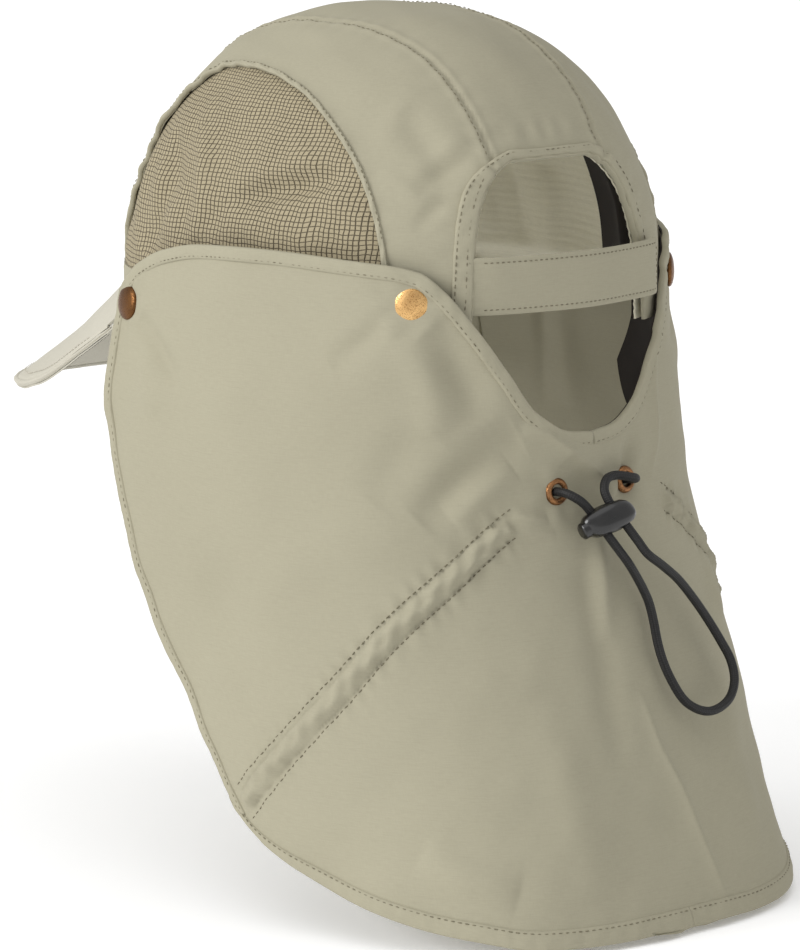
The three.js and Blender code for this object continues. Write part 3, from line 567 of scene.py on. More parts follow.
def make(name, points, faces, uvs, paint, normals=None, body=None, stands_for=(), slot=None):
    """An object from points in millimetres. Normals are one for each point, or None for smooth shading."""
    mesh = bpy.data.meshes.new(name)
    lists = [face.tolist() for group in faces for face in group]
    mesh.from_pydata((np.asarray(points) * MM).tolist(), [], lists)
    corner = np.empty(len(mesh.loops), int)
    mesh.loops.foreach_get("vertex_index", corner)
    layer = mesh.uv_layers.new(name="threads")
    layer.data.foreach_set("uv", (np.asarray(uvs)[corner] * MM).astype(np.float32).ravel())
    mesh.polygons.foreach_set("use_smooth", np.ones(len(mesh.polygons), bool))
    if normals is not None:
        mesh.normals_split_custom_set(normals)
    mesh.materials.append(paint)
    piece = bpy.data.objects.new(name, mesh)
    bpy.context.scene.collection.objects.link(piece)
    if body:
        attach(piece, body)
    if stands_for:
        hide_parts(*stands_for)
    return piece


def cloth_piece(name, points, faces, uvs, thickness, paint, normals=None, **options):
    """A sheet of cloth with both its sides and its cut edges; points are its outside."""
    if normals is None:
        normals = point_normals(points, faces)
    count = len(points)
    rim = rim_of(faces)
    back = faces[:, ::-1] + count
    edge = np.stack([rim[:, 1], rim[:, 0], rim[:, 0] + count, rim[:, 1] + count], 1)
    both = np.vstack([points, points - normals * thickness])
    edge_directions = unit(face_directions(both, edge))
    corner_normals = np.vstack([
        normals[faces.ravel()],
        -normals[faces[:, ::-1].ravel()],
        np.repeat(edge_directions, 4, axis=0),
    ])
    return make(name, both, [faces, back, edge], np.vstack([uvs, uvs]), paint, corner_normals, **options)


def grid_faces(columns, rows):
    """Quads of a grid whose points go along a row first, wound so that row x column points out."""
    i, j = np.meshgrid(np.arange(columns), np.arange(rows))
    a = (j * (columns + 1) + i).ravel()
    return np.stack([a, a + 1, a + columns + 2, a + columns + 1], 1)


def used_only(points, faces, *more):
    """The points that the faces use, the faces counted anew, and the same rows of other arrays."""
    used, again = np.unique(faces.ravel(), return_inverse=True)
    return points[used], again.reshape(faces.shape), *(rows[used] for rows in more)


def ribbon(name, line, inward, out, width, height, paint, lift=0.0, ripple=0.0, seed=1, **options):
    """A folded band along a line: inward is the way across it, out the way its outside faces."""
    count = len(line)
    width, height, lift = (np.broadcast_to(value, count).astype(float) for value in (width, height, lift))
    turns = np.linspace(0, TURN, 18, endpoint=False)
    across = (1 - flattened(np.cos(turns), 0.85)) / 2
    proud = flattened(np.sin(turns), 0.42) / 2
    along = lengths_along(line)
    uneven = ripple * waves(line, 13, seed) + ripple * 0.6 * waves(line, 5, seed + 1)
    rings = (
        line[:, None]
        + inward[:, None] * (across[None, :, None] * width[:, None, None])
        + out[:, None] * (proud[None, :, None] * height[:, None, None] + (lift + uneven)[:, None, None])
    )
    slant = np.sin(TURN * along[:, None] / 8.5 + 5 * across[None, :])
    slant = slant * np.sin(math.pi * across)[None, :] * ripple * 0.7
    rings = rings + out[:, None] * slant[..., None]
    sides = len(turns)
    i, j = np.meshgrid(np.arange(sides), np.arange(count - 1))
    a, b = (j * sides + i).ravel(), (j * sides + (i + 1) % sides).ravel()
    faces = np.stack([a, b, b + sides, a + sides], 1)
    points = rings.reshape(-1, 3)
    centre = np.repeat(rings.mean(1), sides, axis=0)
    if np.sum(point_normals(points, faces) * (points - centre)) < 0:
        faces = faces[:, ::-1]
    ends = [np.arange(sides)[None, :], np.arange(sides)[None, ::-1] + (count - 1) * sides]
    if faces[0][0] == 0 and faces[0][1] == 1:
        ends = [end[:, ::-1] for end in ends]
    uvs = np.stack([np.repeat(along, sides), (across[None, :] * width[:, None]).ravel()], 1)
    return make(name, points, [faces, *ends], uvs, paint, **options)


def stitches(name, line, out, paint, pitch=2.5, length=1.7, thick=0.24, **options):
    """A row of stitches along a line, each a short thread that dips into the cloth at both ends."""
    lengths = lengths_along(line)
    starts = np.arange(pitch / 2, lengths[-1] - length, pitch)
    up = unit(at_lengths(out, lengths, starts + length / 2))
    head = at_lengths(line, lengths, starts)
    tail = at_lengths(line, lengths, starts + length)
    side = np.cross(unit(tail - head), up)
    corners = [head - up * thick * 0.4]
    for share in (0.2, 0.5, 0.8):
        here = head + (tail - head) * share
        bulge = thick * (1.0 if share == 0.5 else 0.8)
        corners += [here + side * bulge, here + up * bulge, here - side * bulge, here - up * bulge * 0.5]
    corners.append(tail - up * thick * 0.4)
    points = np.stack(corners, 1).reshape(-1, 3)
    turn = [(k, (k + 1) % 4) for k in range(4)]
    caps = [[0, 1 + after, 1 + k] for k, after in turn] + [[13, 9 + k, 9 + after] for k, after in turn]
    walls = [[r + k, r + after, r + 4 + after, r + 4 + k] for r in (1, 5) for k, after in turn]
    shift = np.arange(len(starts))[:, None, None] * 14
    faces = [(np.array(group)[None] + shift).reshape(-1, len(group[0])) for group in (caps, walls)]
    return make(name, points, faces, points[:, :2], paint, **options)


def cut(rows, faces, field):
    """Triangles cut where a field is 0, keeping the side below 0; rows are the points' values."""
    below = field < 0
    count = below[faces].sum(1)
    added = []
    made = {}
    pieces = []

    def crossing(a, b):
        key = (min(a, b), max(a, b))
        if key not in made:
            share = field[a] / (field[a] - field[b])
            made[key] = len(rows) + len(added)
            added.append(rows[a] + share * (rows[b] - rows[a]))
        return made[key]

    for face in faces[(count == 1) | (count == 2)].tolist():
        ring = []
        for a, b in zip(face, face[1:] + face[:1]):
            if below[a]:
                ring.append(a)
            if below[a] != below[b]:
                ring.append(crossing(a, b))
        pieces += [[ring[0], ring[k], ring[k + 1]] for k in range(1, len(ring) - 1)]
    everything = np.vstack([rows, np.array(added).reshape(-1, rows.shape[1])])
    kept = np.vstack([faces[count == 3], np.array(pieces, int).reshape(-1, 3)])
    return used_only(everything, kept)


def triangles(quads):
    return np.vstack([quads[:, [0, 1, 2]], quads[:, [0, 2, 3]]])


def weld(points, faces, *more):
    """Points in one place made one, without the faces that this flattens."""
    _, first, again = np.unique(np.round(points, 3), axis=0, return_index=True, return_inverse=True)
    faces = again.ravel()[faces]
    whole = (faces[:, 0] != faces[:, 1]) & (faces[:, 1] != faces[:, 2]) & (faces[:, 2] != faces[:, 0])
    return points[first], faces[whole], *(rows[first] for rows in more)


# ------------------------------------------------------------------ parts of the crown
DOME_COLUMNS, DOME_ROWS = 540, 130


def crown_normal(angle, rise):
    across = crown_point(angle + 0.004, rise) - crown_point(angle - 0.004, rise)
    up = crown_point(angle, rise + 0.004) - crown_point(angle, rise - 0.004)
    return unit(np.cross(up, across))


def in_opening(points):
    """Below 0 in the back opening; about the distance from its edge."""
    return np.maximum(beyond(points[:, [0, 2]], OPENING_CLOSED), -points[:, 1])


def in_window(points):
    """Below 0 in a mesh window; about the distance from its edge."""
    edge = np.maximum(beyond(points[:, 1:], WINDOW), MESH["sill"] - points[:, 2])
    return np.maximum(edge, MESH["edge"] - np.abs(points[:, 0]))


def dome_cloth(limits, relief, depth=0.0):
    """A part of the crown: its points, faces and thread places. Each limit is below 0 on the cloth."""
    angle, rise = np.meshgrid(
        np.linspace(-math.pi, math.pi, DOME_COLUMNS + 1),
        np.linspace(math.pi / 2, -SKIRT / 100, DOME_ROWS + 1),
    )
    places = np.stack([angle.ravel(), rise.ravel()], 1)
    faces = triangles(grid_faces(DOME_COLUMNS, DOME_ROWS))
    for limit in limits:
        places, faces = cut(places, faces, limit(crown_point(*places.T)))
    base = crown_point(*places.T, depth)
    base, faces, places = weld(base, faces, places)
    points = base + point_normals(base, faces) * relief(base)[:, None]
    return points, faces, places * (85, 92)


# ------------------------------------------------------------------ materials
def tone(red, green, blue):
    """A colour given as it looks on a screen, 0 to 255."""
    linear = [((c / 255 + 0.055) / 1.055) ** 2.4 if c > 10 else c / 255 / 12.92 for c in (red, green, blue)]
    return (*linear, 1.0)


class Value:
    """A number coming out of a shader node, with ordinary arithmetic."""

    def __init__(self, paint, socket):
        self.paint = paint
        self.socket = socket

    def maths(self, operation, *values):
        return self.paint.node("ShaderNodeMath", {"operation": operation}, dict(enumerate(values)))

    def __add__(self, other):
        return self.maths("ADD", self, other)

    def __sub__(self, other):
        return self.maths("SUBTRACT", self, other)

    def __rsub__(self, other):
        return self.maths("SUBTRACT", other, self)

    def __mul__(self, other):
        return self.maths("MULTIPLY", self, other)

    __radd__ = __add__
    __rmul__ = __mul__

    def sine(self):
        return self.maths("SINE", self)

    def size(self):
        return self.maths("ABSOLUTE", self)

    def part(self):
        return self.maths("FRACT", self)

    def larger(self, other):
        return self.maths("MAXIMUM", self, other)

    def step(self, low, high, from_value=0.0, to_value=1.0):
        """A smooth change from one value to another as this goes from low to high."""
        values = {0: self, 1: low, 2: high, 3: from_value, 4: to_value}
        return self.paint.node("ShaderNodeMapRange", {"interpolation_type": "SMOOTHSTEP"}, values)


class Paint:
    """A material being made."""

    def __init__(self, name, roughness, metallic=0.0):
        self.material = bpy.data.materials.new(name)
        self.material.use_nodes = True
        self.tree = self.material.node_tree
        self.shader = self.tree.nodes["Principled BSDF"]
        self.set("Roughness", roughness)
        self.set("Metallic", metallic)

    def node(self, kind, settings=None, values=None, output=0):
        made = self.tree.nodes.new(kind)
        for key, value in (settings or {}).items():
            setattr(made, key, value)
        for key, value in (values or {}).items():
            self.feed(made.inputs[key], value)
        return Value(self, made.outputs[output])

    def feed(self, socket, value):
        if isinstance(value, Value):
            self.tree.links.new(value.socket, socket)
        else:
            socket.default_value = value

    def set(self, name, value):
        self.feed(self.shader.inputs[name], value)

    def place(self):
        return self.node("ShaderNodeTexCoord", output=3)

    def threads(self):
        """The thread places: metres along the cloth and across it."""
        return self.node("ShaderNodeUVMap", {"uv_map": "threads"})

    def split(self, vector):
        return [self.node("ShaderNodeSeparateXYZ", values={0: vector}, output=k) for k in range(2)]

    def stretched(self, vector, amounts):
        return self.node("ShaderNodeVectorMath", {"operation": "MULTIPLY"}, {0: vector, 1: amounts})

    def noise(self, vector, scale, detail=2.0):
        return self.node("ShaderNodeTexNoise", values={"Vector": vector, "Scale": scale, "Detail": detail})

    def mix(self, share, first, second):
        return self.node("ShaderNodeMix", {"data_type": "RGBA"}, {0: share, 6: first, 7: second}, output=2)

    def bumps(self, height, distance, strength=1.0):
        """Height is from 0 to 1 and distance is how deep that is, in metres."""
        values = {"Height": height, "Distance": distance, "Strength": strength}
        self.set("Normal", self.node("ShaderNodeBump", values=values))


def woven(name, light, dark, slub=1.0, roughness=0.86):
    """A plain weave with thicker threads here and there, and slightly uneven in colour."""
    paint = Paint(name, roughness)
    threads = paint.threads()
    patches = paint.noise(paint.place(), 14, 3)
    weft = paint.noise(paint.stretched(threads, (0.12, 1, 1)), 2600, 2)
    warp = paint.noise(paint.stretched(threads, (1, 0.16, 1)), 2300, 2)
    slubs = paint.noise(paint.stretched(threads, (0.05, 1, 1)), 1500, 1).step(0.5, 0.75)
    weave = weft * 0.6 + warp * 0.4
    shade = (weave - 0.5) * 0.7 + (patches - 0.5) * 0.35 + slubs * (-0.07 * slub) + 0.5
    paint.set("Base Color", paint.mix(shade.step(0, 1), dark, light))
    paint.set("Roughness", roughness - (patches - 0.5) * 0.12)
    paint.bumps(weave + slubs * (0.1 * slub), 0.00012, 0.35)
    return paint.material


def mesh_net(name, light, dark, cell=(0.00185, 0.0016)):
    """A knitted net of soft square cells with thin dented grooves between them, the grooves darkened as painted
    shade.
    """
    paint = Paint(name, 0.9)
    threads = paint.threads()
    along, up = paint.split(threads)
    sway = paint.noise(threads, 60, 2) - 0.5
    drift = paint.noise(paint.stretched(threads, (1, 1, 1)), 380, 1) - 0.5
    column = ((along + sway * 0.0042 + drift * 0.0005) * (1 / cell[0])).part()
    row = ((up + sway * 0.0030 + drift * 0.0005) * (1 / cell[1])).part()
    upright = (column - 0.5).size().step(0.33, 0.48)
    level = (row - 0.5).size().step(0.35, 0.49)
    groove_and_shade = upright.larger(level * 0.85)
    fuzz = paint.noise(threads, 3200, 2)
    patches = paint.noise(paint.place(), 30, 2)
    # painted shade: the grooves are darkened towards the dark colour, as shade in the recesses between cells
    shade = groove_and_shade * 0.95 + (fuzz - 0.5) * 0.6 + (patches - 0.5) * 0.3
    paint.set("Base Color", paint.mix(shade.step(0, 1), light, dark))
    paint.bumps((1 - groove_and_shade) * 0.8 + fuzz * 0.25, 0.00045, 0.8)
    return paint.material


def towel(name, light, dark):
    paint = Paint(name, 0.95)
    loops = paint.noise(paint.place(), 1300, 2)
    paint.set("Base Color", paint.mix(loops.step(0.3, 0.7), dark, light))
    paint.bumps(loops, 0.0006, 0.8)
    return paint.material


def old_brass(name, light, dark, roughness=0.34, speckle=1.0):
    """Brass with a fine grain of darker specks, and darker in broad patches."""
    paint = Paint(name, roughness, metallic=1.0)
    place = paint.place()
    specks = paint.noise(place, 2600, 2).step(0.5, 0.66)
    patches = paint.noise(place, 190, 3).step(0.35, 0.7)
    paint.set("Base Color", paint.mix(specks * (0.5 * speckle) + patches * 0.35, light, dark))
    paint.set("Roughness", specks * 0.2 + roughness)
    paint.bumps(specks, 0.00008, 0.35)
    return paint.material


def plastic(name, base):
    paint = Paint(name, 0.24)
    place = paint.place()
    wear = paint.noise(place, 240, 3)
    paint.set("Base Color", paint.mix(wear.step(0.4, 0.8), base, tone(22, 21, 20)))
    paint.set("Roughness", wear * 0.18 + 0.2)
    paint.set("Coat Weight", 0.4)
    paint.bumps(paint.noise(place, 900, 2), 0.00005, 0.25)
    return paint.material


def braid(name, base, light):
    """Fine threads that cross each other round a cord."""
    paint = Paint(name, 0.62)
    along, around = paint.split(paint.threads())
    one = (along * 4200 + around * 3740).sine()
    other = (along * 4200 - around * 3740).sine()
    threads = one * other * 0.5 + 0.5
    paint.set("Base Color", paint.mix(threads.step(0.55, 1), base, light))
    paint.bumps(threads, 0.0002, 0.7)
    return paint.material


def sewing(name, light, dark):
    paint = Paint(name, 0.7)
    fuzz = paint.noise(paint.place(), 1700, 1)
    paint.set("Base Color", paint.mix(fuzz.step(0.3, 0.7), dark, light))
    return paint.material


def steel_wire(name):
    paint = Paint(name, 0.3, metallic=1.0)
    dull = paint.noise(paint.place(), 700, 2)
    paint.set("Base Color", paint.mix(dull, tone(190, 190, 188), tone(120, 120, 118)))
    return paint.material


def studio_floor(name):
    paint = Paint(name, 0.9)
    soft = paint.noise(paint.place(), 3, 1)
    paint.set("Base Color", paint.mix(soft, tone(252, 252, 252), tone(255, 255, 255)))
    paint.set("Emission Color", tone(255, 255, 255))
    paint.set("Emission Strength", 0.12)
    return paint.material


KHAKI = woven("khaki_cloth", tone(164, 159, 137), tone(148, 143, 123))
# painted light: the inside's khaki is much paler than the outside's, so that the shaded inside looks as bright
# as the lit outside
INNER_PAINTED_LIGHT = woven("inner_khaki_painted_light", tone(232, 227, 204), tone(202, 197, 176), slub=1.6)
PALE = woven("pale_cloth", tone(192, 188, 175), tone(174, 170, 155), slub=0.6)
# painted shade: a near-black cloth for sheets that stand in for the deep shadow inside the back opening and the
# notch
PAINTED_SHADE = woven("dark_shade_sheet", tone(34, 24, 15), tone(20, 14, 9), roughness=0.95)
NET = mesh_net("mesh_cloth", tone(160, 149, 122), tone(70, 61, 44))
# partly the thread's own colour, partly painted shade: darker than the cloth, standing for the shadow round each
# stitch
SHADED_THREAD = sewing("khaki_thread_painted_shade", tone(128, 122, 100), tone(104, 98, 78))
PALE_THREAD = sewing("pale_thread", tone(205, 200, 186), tone(170, 164, 148))
TOWEL = towel("towelling", tone(178, 172, 150), tone(140, 134, 114))
GOLD = old_brass("bright_brass", tone(226, 184, 124), tone(128, 84, 42), roughness=0.4)
BROWN_BRASS = old_brass("dark_brass", tone(116, 80, 48), tone(54, 36, 22), roughness=0.36)
COPPER = old_brass("grommet_brass", tone(158, 114, 76), tone(58, 40, 28), roughness=0.34)
BLACK = plastic("black_plastic", tone(9, 9, 9))
CORD = braid("black_cord", tone(10, 9, 9), tone(40, 38, 36))
STEEL = steel_wire("spring_steel")
BOARD = sewing("bill_board", tone(236, 234, 228), tone(222, 219, 210))
HOOKS = towel("hook_tape", tone(150, 144, 124), tone(108, 103, 88))

CAD_PAINTS = {
    "casing": KHAKI,
    "strap_root": KHAKI,
    "strap_": HOOKS,
    "sweatband": TOWEL,
    "bill_board": BOARD,
    "snap_": BROWN_BRASS,
    "drawcord_": CORD,
    "lock_spring": STEEL,
    "grommet_washer": COPPER,
}
for name, node in frame["nodes"].items():
    for start, paint in CAD_PAINTS.items():
        if name.startswith(start):
            node.data.materials.clear()
            node.data.materials.append(paint)
            break


# ------------------------------------------------------------------ turned and long pieces
def rounded(profile, size):
    """A profile with each corner turned into a small curve."""
    points = [np.array(p, float) for p in profile]
    result = [points[0]]
    for before, corner, after in zip(points, points[1:], points[2:]):
        start = corner + (before - corner) * min(0.45, size / np.linalg.norm(before - corner))
        end = corner + (after - corner) * min(0.45, size / np.linalg.norm(after - corner))
        for t in (0, 0.33, 0.67, 1):
            result.append((1 - t) ** 2 * start + 2 * t * (1 - t) * corner + t**2 * end)
    return np.array(result + [points[-1]])


def lathe(name, profile, at, out, paint, size=0.3, sides=60, ring=False, **options):
    """A turned piece from (radius, height) pairs, foot first. A ring's profile closes on itself."""
    radii, heights = rounded(profile, size).T
    if ring:
        radii, heights = radii[:-1], heights[:-1]
    out = unit(out)
    side = unit(np.cross(out, (0.0, 0.0, 1.0)))
    up = np.cross(out, side)
    turns = np.linspace(0, TURN, sides, endpoint=False)
    circle = np.cos(turns)[:, None] * side + np.sin(turns)[:, None] * up
    points = np.asarray(at) + radii[:, None, None] * circle + heights[:, None, None] * out
    rows = len(radii)
    i, j = np.meshgrid(np.arange(sides), np.arange(rows if ring else rows - 1))
    low, high = (j * sides).ravel(), ((j + 1) % rows * sides).ravel()
    here, there = i.ravel(), ((i + 1) % sides).ravel()
    faces = np.stack([low + there, low + here, high + here, high + there], 1)
    groups = [faces]
    if not ring:
        groups += [np.arange(sides)[None, :], np.arange(sides)[None, ::-1] + (rows - 1) * sides]
    uvs = np.stack([np.tile(turns * 5, rows), np.repeat(heights + radii, sides)], 1)
    return make(name, points.reshape(-1, 3), groups, uvs, paint, **options)


def tube(name, path, radius, paint, sides=16, **options):
    """A round tube along a path, with rounded uvs for a braid."""
    path = np.asarray(path, float)
    ahead = unit(np.gradient(path, axis=0))
    side = unit(np.cross(ahead[0], (0.3, 0.2, 0.9)))
    rings = []
    turns = np.linspace(0, TURN, sides, endpoint=False)
    for at, along in zip(path, ahead):
        side = unit(side - along * np.dot(side, along))
        up = np.cross(along, side)
        rings.append(at + radius * (np.cos(turns)[:, None] * side + np.sin(turns)[:, None] * up))
    points = np.vstack(rings)
    i, j = np.meshgrid(np.arange(sides), np.arange(len(path) - 1))
    here, there = i.ravel(), ((i + 1) % sides).ravel()
    low, high = (j * sides).ravel(), ((j + 1) * sides).ravel()
    faces = np.stack([low + here, low + there, high + there, high + here], 1)
    ends = [np.arange(sides)[None, ::-1], np.arange(sides)[None, :] + (len(path) - 1) * sides]
    lengths = lengths_along(path)
    uvs = np.stack([np.repeat(lengths, sides), np.tile(turns * radius, len(path))], 1)
    return make(name, points, [faces, *ends], uvs, paint, **options)


# ------------------------------------------------------------------ cape
HINGE_MIDDLE = {side: np.array((way * 67, 105, -120)) for side, way in SIDES.items()}
HINGE_WAY = {side: unit((way * 0.7, -0.66, -0.24)) for side, way in SIDES.items()}
BEND_REACH = 12
CAPE_COLUMNS, CAPE_ROWS = 230, 180
TOP_BINDING, FRONT_BINDING, HEM_BINDING = 5, 5, 7
BINDING_HEIGHT, BINDING_LIFT = 2.9, -0.55


def hang(piece, side):
    """The piece with its placement baked into its mesh; the ends of the wing's fold are worked out but not used.
    """
    start = HINGE_MIDDLE[side] - BEND_REACH * HINGE_WAY[side]
    end = HINGE_MIDDLE[side] + BEND_REACH * HINGE_WAY[side]
    start * MM
    end * MM
    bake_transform(piece)
    return piece


def cape_place(share, down):
    """Share and height of a place in the cape; down is 0 at the top edge and 1 at the hem."""
    top, hem = top_of(share), hem_of(share)
    return share, top + (hem - top) * down


def cape_cloth():
    share, down = np.meshgrid(np.linspace(-1, 1, 2 * CAPE_COLUMNS + 1), np.linspace(0, 1, CAPE_ROWS + 1))
    share, z = cape_place(share.ravel(), down.ravel())
    points, _ = cape_outside(share, z)
    faces = grid_faces(2 * CAPE_COLUMNS, CAPE_ROWS)
    normals = point_normals(points, faces)
    uvs = np.stack([share * front_angle(z) * 97, z], 1)
    pieces = {}
    for side, way in SIDES.items():
        mine = faces[(share[faces].mean(1) * way) > 0]
        cut_points, cut_faces, cut_uvs, cut_normals = used_only(points, mine, uvs, normals)
        pieces[side] = hang(cloth_piece(
            f"cape_{side}", cut_points, cut_faces, cut_uvs, CLOTH, KHAKI, cut_normals,
            stands_for=(f"cape_wing_{side}",) + (("cape_back_panel",) if side == "left" else ()),
            slot="khaki_cloth",
        ), side)
    return pieces


def edge_of(share, z, share_in, z_in):
    """A line at the cape's edge, the way in from it, and the way out of the cloth."""
    line, out = cape_outside(share, z)
    further, _ = cape_outside(share_in, z_in)
    return line, unit(further - line), out


def cape_edges():
    """Each bound edge of the cape: kind, side, line, way in, way out and width."""
    edges = []
    steps = np.linspace(0, 1, 260)
    for side, way in SIDES.items():
        share = way * steps
        top, hem = top_of(share), hem_of(share)
        line, across, out = edge_of(share, top, share, top - TOP_BINDING)
        ahead = unit(np.gradient(line, axis=0))
        across = unit(np.cross(ahead, out)) * np.sign(np.sum(np.cross(ahead, out) * across, axis=1))[:, None]
        edges.append(("top", side, line, across, out, TOP_BINDING))
        line, across, out = edge_of(share, hem, share, hem + HEM_BINDING)
        edges.append(("hem", side, line, across, out, HEM_BINDING))
        z = np.linspace(top_of(1.0), hem_of(1.0), 200)
        full = np.full_like(z, float(way))
        line, across, out = edge_of(full, z, full * 0.965, z)
        edges.append(("front", side, line, across, out, FRONT_BINDING))
    return edges


def cape_bindings():
    pieces = {side: [] for side in SIDES}
    for seed, (kind, side, line, across, out, width) in enumerate(cape_edges()):
        stands_for = [f"{kind}_binding_{side}"]
        if side == "left" and kind != "front":
            stands_for.append(f"{kind}_binding_back")
        strip = ribbon(
            f"{kind}_binding_of_{side}", line - across * 0.2, across, out, width + 0.2, BINDING_HEIGHT,
            KHAKI, lift=BINDING_LIFT, ripple=0.12, seed=40 + seed, stands_for=stands_for, slot="khaki_cloth",
        )
        row = line + across * (width - 1.15) + out * (BINDING_LIFT + 0.44 * BINDING_HEIGHT)
        sewn = stitches(f"{kind}_stitches_of_{side}", row, out, SHADED_THREAD)
        pieces[side] += [hang(strip, side), hang(sewn, side)]
    return pieces


def casing_stitches():
    pieces = {side: [] for side in SIDES}
    for side, way in SIDES.items():
        shares = np.linspace(0.165, 0.955, 240)
        z = through(CASING_LINE, shares)
        for name, offset in (("upper", CASING_HALF), ("lower", -CASING_HALF)):
            line, out = cape_outside(way * shares, z + offset * 1.25)
            sewn = stitches(f"casing_{name}_stitches_{side}", line + out * 0.05, out, SHADED_THREAD)
            pieces[side].append(hang(sewn, side))
    return pieces


def cape_shade_sheet(side):
    """A dark sheet inside the cape beside the notch: painted shade, standing for the deep shadow there."""
    way = SIDES[side]
    share, down = np.meshgrid(np.linspace(0, 0.62, 90) * way, np.linspace(0.0, 0.5, 70))
    share, z = cape_place(share.ravel(), down.ravel())
    points, normals = cape_outside(share, z)
    points = points - normals * (CLOTH + 0.35)
    faces = triangles(grid_faces(89, 69))
    if way < 0:
        faces = faces[:, ::-1]
    rows = np.hstack([points, np.stack([share * 250, z], 1)])
    limit = 52 + 0.667 * rows[:, 2] + 1.2 * waves(points, 40, 51) - rows[:, 1]
    rows, faces = cut(rows, faces, limit)
    rows, faces = cut(rows, faces, -80 - rows[:, 2])
    piece = cloth_piece(f"cape_shade_sheet_{side}", rows[:, :3], faces, rows[:, 3:], 0.5, PAINTED_SHADE)
    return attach(piece, "cap")


# ------------------------------------------------------------------ crown
def crown_pieces():
    cloth = dome_cloth([lambda p: 1.2 - in_opening(p), lambda p: -in_window(p)], crown_relief)
    cloth_piece(
        "crown_cloth", *cloth, CLOTH, KHAKI, body="cap", slot="khaki_cloth",
        stands_for=("crown_centre_panel", "crown_side_panel_left", "crown_side_panel_right"),
    )
    for side, way in SIDES.items():
        limits = [lambda p: in_window(p) - 3, lambda p: -way * p[:, 0], lambda p: 1.2 - in_opening(p)]
        points, faces, _ = dome_cloth(limits, mesh_relief, 0.3)
        uvs = np.stack([points[:, 1], np.arcsin(np.clip(points[:, 2] / 99, -1, 1)) * 92], 1)
        cloth_piece(
            f"mesh_{side}", points, faces, uvs, 0.8, NET, body="cap", slot="mesh_cloth",
            stands_for=(f"mesh_panel_{side}",),
        )
    lining = dome_cloth([lambda p: 1.0 - in_opening(p)], lining_relief, 3.4)
    cloth_piece(
        "crown_inside", *lining, 0.6, INNER_PAINTED_LIGHT, body="cap", slot="khaki_cloth", stands_for=("crown_lining",),
    )


# bounds of the dark sheets of painted shade inside the crown
SHADE_SHEET_FOOT = [(-60, 40), (5, 23), (32, 13), (44, 4), (70, -24)]
SHADE_SHEET_FRONT = [(-60, 0), (-14, 0), (-2, 50), (30, 48), (62, 41)]


def shade_sheet_relief(points):
    return 0.3 * waves(points, 30, 61) - 1.2 * behind_net(points)


def crown_shade_sheets():
    """A dark sheet inside the crown beside the back opening, on each side: painted shade, standing for the deep
    shadow there.
    """
    for side, way in SIDES.items():
        limits = [
            lambda p: 1.2 - in_opening(p),
            lambda p: 30 - way * p[:, 0],
            lambda p: -p[:, 1],
            lambda p: through(SHADE_SHEET_FOOT, p[:, 1]) - p[:, 2],
            lambda p: p[:, 2] - 62,
            lambda p: through(SHADE_SHEET_FRONT, p[:, 2]) - p[:, 1],
        ]
        shade_sheet = dome_cloth(limits, shade_sheet_relief, 4.4)
        cloth_piece(f"crown_shade_sheet_{side}", *shade_sheet, 0.5, PAINTED_SHADE, body="cap")


def crown_edge(line, way_out, sign):
    """The way across from an edge on the crown, beside a line with its outward ways."""
    ahead = unit(np.gradient(line, axis=0))
    return unit(np.cross(way_out, ahead)) * sign


def surface_line(flat, place):
    """A line on the crown with even steps: its points and the way out at each."""
    even = evenly(flat, 0.8)
    angles = place(even)
    rises = rise_at(even[:, 1])
    return crown_point(angles, rises), crown_normal(angles, rises)


OPENING_WIDTHS = [(0, 7.6), (0.3, 7.4), (0.4, 3.6), (0.5, 2.8), (0.62, 3.0), (0.72, 4.2), (1, 4.6)]


def opening_trim():
    seen = OPENING[(OPENING[:, 0] > 0) | (OPENING[:, 1] > 1)]
    line, out = surface_line(seen, lambda flat: crown_angle(flat[:, 1], x=flat[:, 0]))
    across = crown_edge(line, out, 1)
    share = np.linspace(0, 1, len(line))
    lift = crown_relief(line)[:, None] * out
    width = through(OPENING_WIDTHS, share)
    ribbon(
        "opening_band", line + lift - across * 0.2, across, out, width, 2.7, KHAKI, lift=-0.35, ripple=0.22,
        seed=71, body="cap", stands_for=("opening_binding",), slot="khaki_cloth",
    )
    ribbon(
        "opening_roll", line + lift - across * 0.9, across, out, 2.0, 2.6, KHAKI, lift=-1.5, ripple=0.3,
        seed=73, body="cap",
    )
    rows = {"outer": width - 1.3, "inner": np.minimum(width - 1.3, 2.4)}
    for name, offset in rows.items():
        row = line + lift + across * offset[:, None] + out * (-0.35 + 1.2)
        part = slice(None) if name == "outer" else slice(0, int(len(line) * 0.36))
        stitches(f"opening_{name}_stitches", row[part], out[part], SHADED_THREAD, body="cap")


def window_trim():
    flat = WINDOW[WINDOW[:, 1] > -6]
    line, out = surface_line(flat, lambda p: crown_angle(p[:, 1], y=p[:, 0]))
    for side, way in SIDES.items():
        flip = np.array((way, 1, 1))
        edge, outward = line * flip, out * flip
        away = crown_edge(edge, outward, way)
        lift = crown_relief(edge)[:, None] * outward
        ribbon(
            f"window_edge_{side}", edge + lift - away * 0.5, away, outward, 2.0, 1.9, KHAKI, lift=-0.1,
            ripple=0.3, seed=81, body="cap",
        )
        row = edge + lift + away * 1.15 + outward * 0.72
        stitches(f"window_stitches_{side}", row, outward, SHADED_THREAD, body="cap", pitch=2.3, length=1.5)


